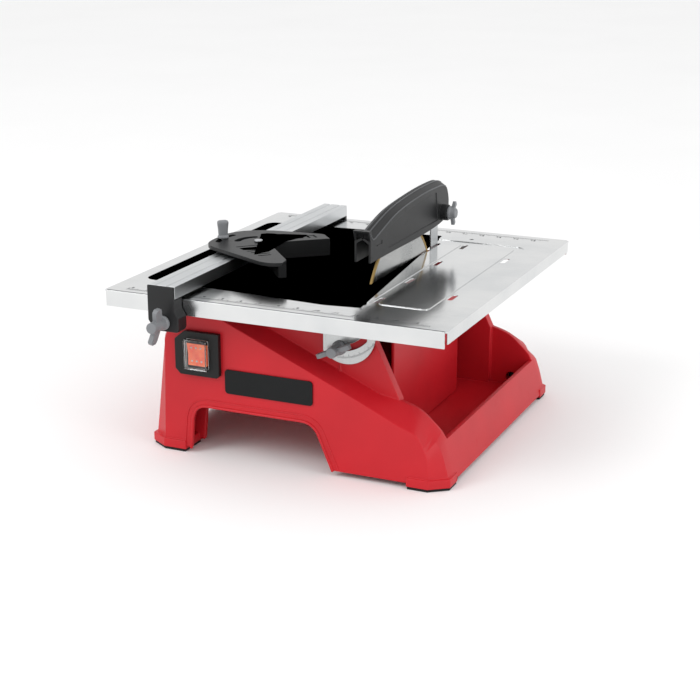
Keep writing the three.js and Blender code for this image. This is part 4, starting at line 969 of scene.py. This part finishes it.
def make_rocker():
    """A rocker with a dished face and two rows of raised dots."""
    body = as_object("rocker_lit", merged("switch_rocker"), MATERIALS["rocker"])
    ride(rounded(body, 0.6 * MM, segments=3), "rocker", "switch_rocker", slot="rocker_plastic")
    low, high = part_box("switch_rocker")
    centre = (low + high) / 2
    places = []
    for row in (0.62, -0.58):
        for column in (-0.52, 0, 0.52):
            z = centre.z + row * (high.z - low.z) / 2
            y = low.y + (2.6 * MM) * (1 - abs(row)) if row > 0 else low.y + 2.35 * MM
            places.append((centre.x + column * (high.x - low.x) / 2, y, z))
    dot = revolve("dot_pattern", [(0, -0.3 * MM), (1.1 * MM, -0.3 * MM), (1.0 * MM, 0.3 * MM),
                                  (0.5 * MM, 0.5 * MM), (0, 0.55 * MM)], MATERIALS["print"], sides=16)
    marks = spots("dot_places", places)
    dots = recipe(copies).make("rocker_dots", places=marks, pattern=dot,
                               turn=(math.radians(90), 0, 0), material=MATERIALS["print"])
    drop(marks, dot)
    ride(dots, "rocker", slot="rocker_plastic")


# ---------------------------------------------------------------- screws

def screw_pattern():
    """A pan head with a cross recess, standing on Z."""
    head = revolve("screw_pattern", [
        (0, -1.5 * MM), (2.2 * MM, -1.5 * MM), (2.2 * MM, 0), (4.3 * MM, 0), (4.3 * MM, 0.9 * MM),
        (3.7 * MM, 2.0 * MM), (2.2 * MM, 2.6 * MM), (0, 2.8 * MM)], MATERIALS["zinc"], sides=24)
    for turn in (0, math.radians(90)):
        arm = as_object("recess", prism([(-2.3 * MM, -0.4 * MM), (2.3 * MM, -0.4 * MM),
                                         (2.3 * MM, 0.4 * MM), (-2.3 * MM, 0.4 * MM)],
                                        1.3 * MM, 4 * MM), MATERIALS["zinc"])
        moved(arm, Matrix.Rotation(turn, 4, "Z"))
        cut = head.modifiers.new("recess", "BOOLEAN")
        cut.object = arm
        cut.operation = "DIFFERENCE"
        settled(head)
        drop(arm)
    return smoothed(head)


def make_screws():
    pattern = screw_pattern()
    shelf = [at(x, 10 + dy, 70.2) for x in (-46, 20) for dy in (-40, 40)]
    foot = [at(86, y, 20.2) for y in (-70, 50)]
    under = [at(x, y, 181.4) for x in (45, 87) for y in (-168.5, 168.5)]
    plate = [at(36.4, 10 + dy, 134 + dz) for dy in (-40, 40) for dz in (-30, 30)]
    rows = (("motor_shelf_screws", shelf, (0, 0, 0), "base"),
            ("shield_screws", foot, (0, 0, 0), "base"),
            ("bracket_screws", under, (math.pi, 0, 0), "table"),
            ("motor_plate_screws", plate, (0, math.radians(90), 0), "base"))
    for name, places, turn, body in rows:
        marks = spots(name + "_places", places)
        made = recipe(copies).make(name, places=marks, pattern=pattern, turn=turn,
                                   material=MATERIALS["zinc"])
        drop(marks)
        ride(made, body, slot="zinc_steel")
    drop(pattern)


# ---------------------------------------------------------------- gauge and fence

def make_gauge(look):
    make_rounded(["gauge_saddle", "gauge_head", "gauge_bolt", "gauge_pivot_screw"])
    make_gauge_knob(look)


def make_fence():
    make_rounded(["fence_rail", "fence_clamp", "fence_hook", "fence_jaw", "fence_bolt"])


def make_inside():
    done = {"table_top", "guard_left", "guard_right", "switch_frame", "name_plate",
            "gauge_saddle", "gauge_head", "gauge_bolt", "gauge_pivot_screw", "fence_rail",
            "fence_clamp", "fence_hook", "fence_jaw", "fence_bolt", "bevel_bracket_front",
            "bevel_bracket_rear", "bevel_bolt_front", "bevel_bolt_rear", "hinge_screw_front",
            "hinge_screw_rear"}
    make_rounded([node for node in ROUNDED if node not in done])
    make_plain()


# ---------------------------------------------------------------- stage

FLOOR_HALF = 22.0                 # half the width of the floor, in metres
CAMERA_PLACE = (0.6996, -1.55335, 0.6260)
CAMERA_TURN = (math.radians(72.46), 0, math.radians(24.01))
CAMERA_LENS = 79.32
CAMERA_SENSOR = 36


def area_light(name, place, target, size, power):
    data = bpy.data.lights.new(name, "AREA")
    data.shape = "RECTANGLE"
    data.size, data.size_y = size
    data.energy = power
    light = linked(name, data)
    light.location = place
    light.rotation_euler = (Vector(target) - Vector(place)).to_track_quat("-Z", "Y").to_euler()


def make_stage(look):
    world = bpy.data.worlds.new("studio")
    world.use_nodes = True
    back = world.node_tree.nodes["Background"]
    back.inputs["Color"].default_value = (1, 1, 1, 1)
    back.inputs["Strength"].default_value = look.sky
    bpy.context.scene.world = world
    made = Finish("floor_white")
    made.feed(Base_Color=made.mix(rgb("fbfbfb"), rgb("f6f6f6"), made.noise(2)), Roughness=0.9)
    shape = bmesh.new()
    corners = [(x * FLOOR_HALF, y * FLOOR_HALF) for x, y in ((-1, -1), (1, -1), (1, 1), (-1, 1))]
    shape.faces.new([shape.verts.new((x, y, 0)) for x, y in corners])
    floor = as_object("floor", shape, made.material)
    area_light("key", (-1.7, -2.4, 2.6), (0, 0, 0.1), (1.6, 1.6), look.key)
    area_light("side", (2.6, -0.7, 1.3), (0.1, 0, 0.1), (1.4, 1.4), look.side)
    bpy.context.scene.view_settings.view_transform = "Standard"


def make_camera():
    data = bpy.data.cameras.new("view")
    data.sensor_width = CAMERA_SENSOR
    data.lens = CAMERA_LENS
    camera = linked("view", data)
    camera.location = CAMERA_PLACE
    camera.rotation_euler = CAMERA_TURN
    bpy.context.scene.camera = camera


# ---------------------------------------------------------------- add-on

class TileCutterLook(bpy.types.PropertyGroup):
    """Colours and small sizes of the looks."""

    housing_red: FloatVectorProperty(
        name="Housing red", description="Colour of the moulded housing", subtype="COLOR",
        size=3, min=0, max=1, default=rgb("c51b26")[:3])
    sheet_grey: FloatVectorProperty(
        name="Sheet grey", description="Colour of the polished table sheet", subtype="COLOR",
        size=3, min=0, max=1, default=rgb("e2e2e1")[:3])
    housing_edge: FloatProperty(
        name="Housing edge", description="Edge radius of the housing", unit="LENGTH",
        default=0.9 * MM, min=0)
    wing_thickness: FloatProperty(
        name="Wing thickness", description="Thickness of a knob's wings", unit="LENGTH",
        default=5.2 * MM, min=0)
    knob_voxel: FloatProperty(
        name="Knob fineness", description="Grid that the cast knobs are blended on",
        unit="LENGTH", default=0.5 * MM, min=0.0001)
    tick_pitch: FloatProperty(
        name="Tick pitch", description="Distance between two marks of the ruler",
        unit="LENGTH", default=2.2 * MM, min=0.0001)


class TileCutterStage(bpy.types.PropertyGroup):
    """Lights of the stage."""

    sky: FloatProperty(name="Sky", description="Strength of the even studio light", default=0.95, min=0)
    key: FloatProperty(name="Key", description="Power of the main light", unit="POWER",
                       default=38, min=0)
    side: FloatProperty(name="Side", description="Power of the side light", unit="POWER",
                        default=16, min=0)


def operator(name, label, text, work):
    """An operator class whose execute does one piece of work."""

    def execute(self, context):
        work(context.scene)
        return {"FINISHED"}

    return type(name, (bpy.types.Operator,), {
        "bl_idname": f"tile_cutter.{label}", "bl_label": text, "__doc__": text,
        "execute": execute})


OPERATORS = [
    operator("TILECUTTER_OT_finishes", "finishes", "Make the finishes",
             lambda scene: paint(scene.tile_cutter_look)),
    operator("TILECUTTER_OT_camera", "camera", "Add the camera", lambda scene: make_camera()),
    operator("TILECUTTER_OT_housing", "housing", "Build the housing",
             lambda scene: make_housing(scene.tile_cutter_look)),
    operator("TILECUTTER_OT_inside", "inside", "Finish the motor, shaft and small parts",
             lambda scene: make_inside()),
    operator("TILECUTTER_OT_blade", "blade", "Build the blade", lambda scene: make_blade()),
    operator("TILECUTTER_OT_guard", "guard", "Build the blade guard", lambda scene: make_guard()),
    operator("TILECUTTER_OT_table", "table", "Build the table",
             lambda scene: make_table(scene.tile_cutter_look)),
    operator("TILECUTTER_OT_quadrants", "quadrants", "Build the tilt quadrants",
             lambda scene: make_quadrants()),
    operator("TILECUTTER_OT_fence", "fence", "Build the fence", lambda scene: make_fence()),
    operator("TILECUTTER_OT_gauge", "gauge", "Build the mitre gauge",
             lambda scene: make_gauge(scene.tile_cutter_look)),
    operator("TILECUTTER_OT_knobs", "knobs", "Build the wing knobs",
             lambda scene: make_wing_knobs(scene.tile_cutter_look)),
    operator("TILECUTTER_OT_switch", "switch", "Build the switch", lambda scene: make_switch()),
    operator("TILECUTTER_OT_screws", "screws", "Place the screws", lambda scene: make_screws()),
    operator("TILECUTTER_OT_stage", "stage", "Add the floor and lights",
             lambda scene: make_stage(scene.tile_cutter_stage)),
]


class TILECUTTER_PT_panel(bpy.types.Panel):
    """Lists what the add-on builds."""

    bl_idname = "TILECUTTER_PT_panel"
    bl_label = "Tile Cutter"
    bl_space_type = "VIEW_3D"
    bl_region_type = "UI"
    bl_category = "Tile Cutter"

    def draw(self, context):
        for group in (context.scene.tile_cutter_look, context.scene.tile_cutter_stage):
            for key in group.__annotations__:
                self.layout.prop(group, key)
        for made in OPERATORS:
            self.layout.operator(made.bl_idname)


CLASSES = [TileCutterLook, TileCutterStage, *OPERATORS, TILECUTTER_PT_panel]


def register():
    for made in CLASSES:
        bpy.utils.register_class(made)
    bpy.types.Scene.tile_cutter_look = PointerProperty(type=TileCutterLook)
    bpy.types.Scene.tile_cutter_stage = PointerProperty(type=TileCutterStage)


def unregister():
    del bpy.types.Scene.tile_cutter_stage
    del bpy.types.Scene.tile_cutter_look
    for made in reversed(CLASSES):
        bpy.utils.unregister_class(made)


def main():
    register()
    for made in OPERATORS:
        call = getattr(bpy.ops.tile_cutter, made.bl_idname.split(".")[1])
        if call() != {"FINISHED"}:
            raise RuntimeError(f"{made.bl_label} did not finish")


if __name__ == "__main__":
    main()
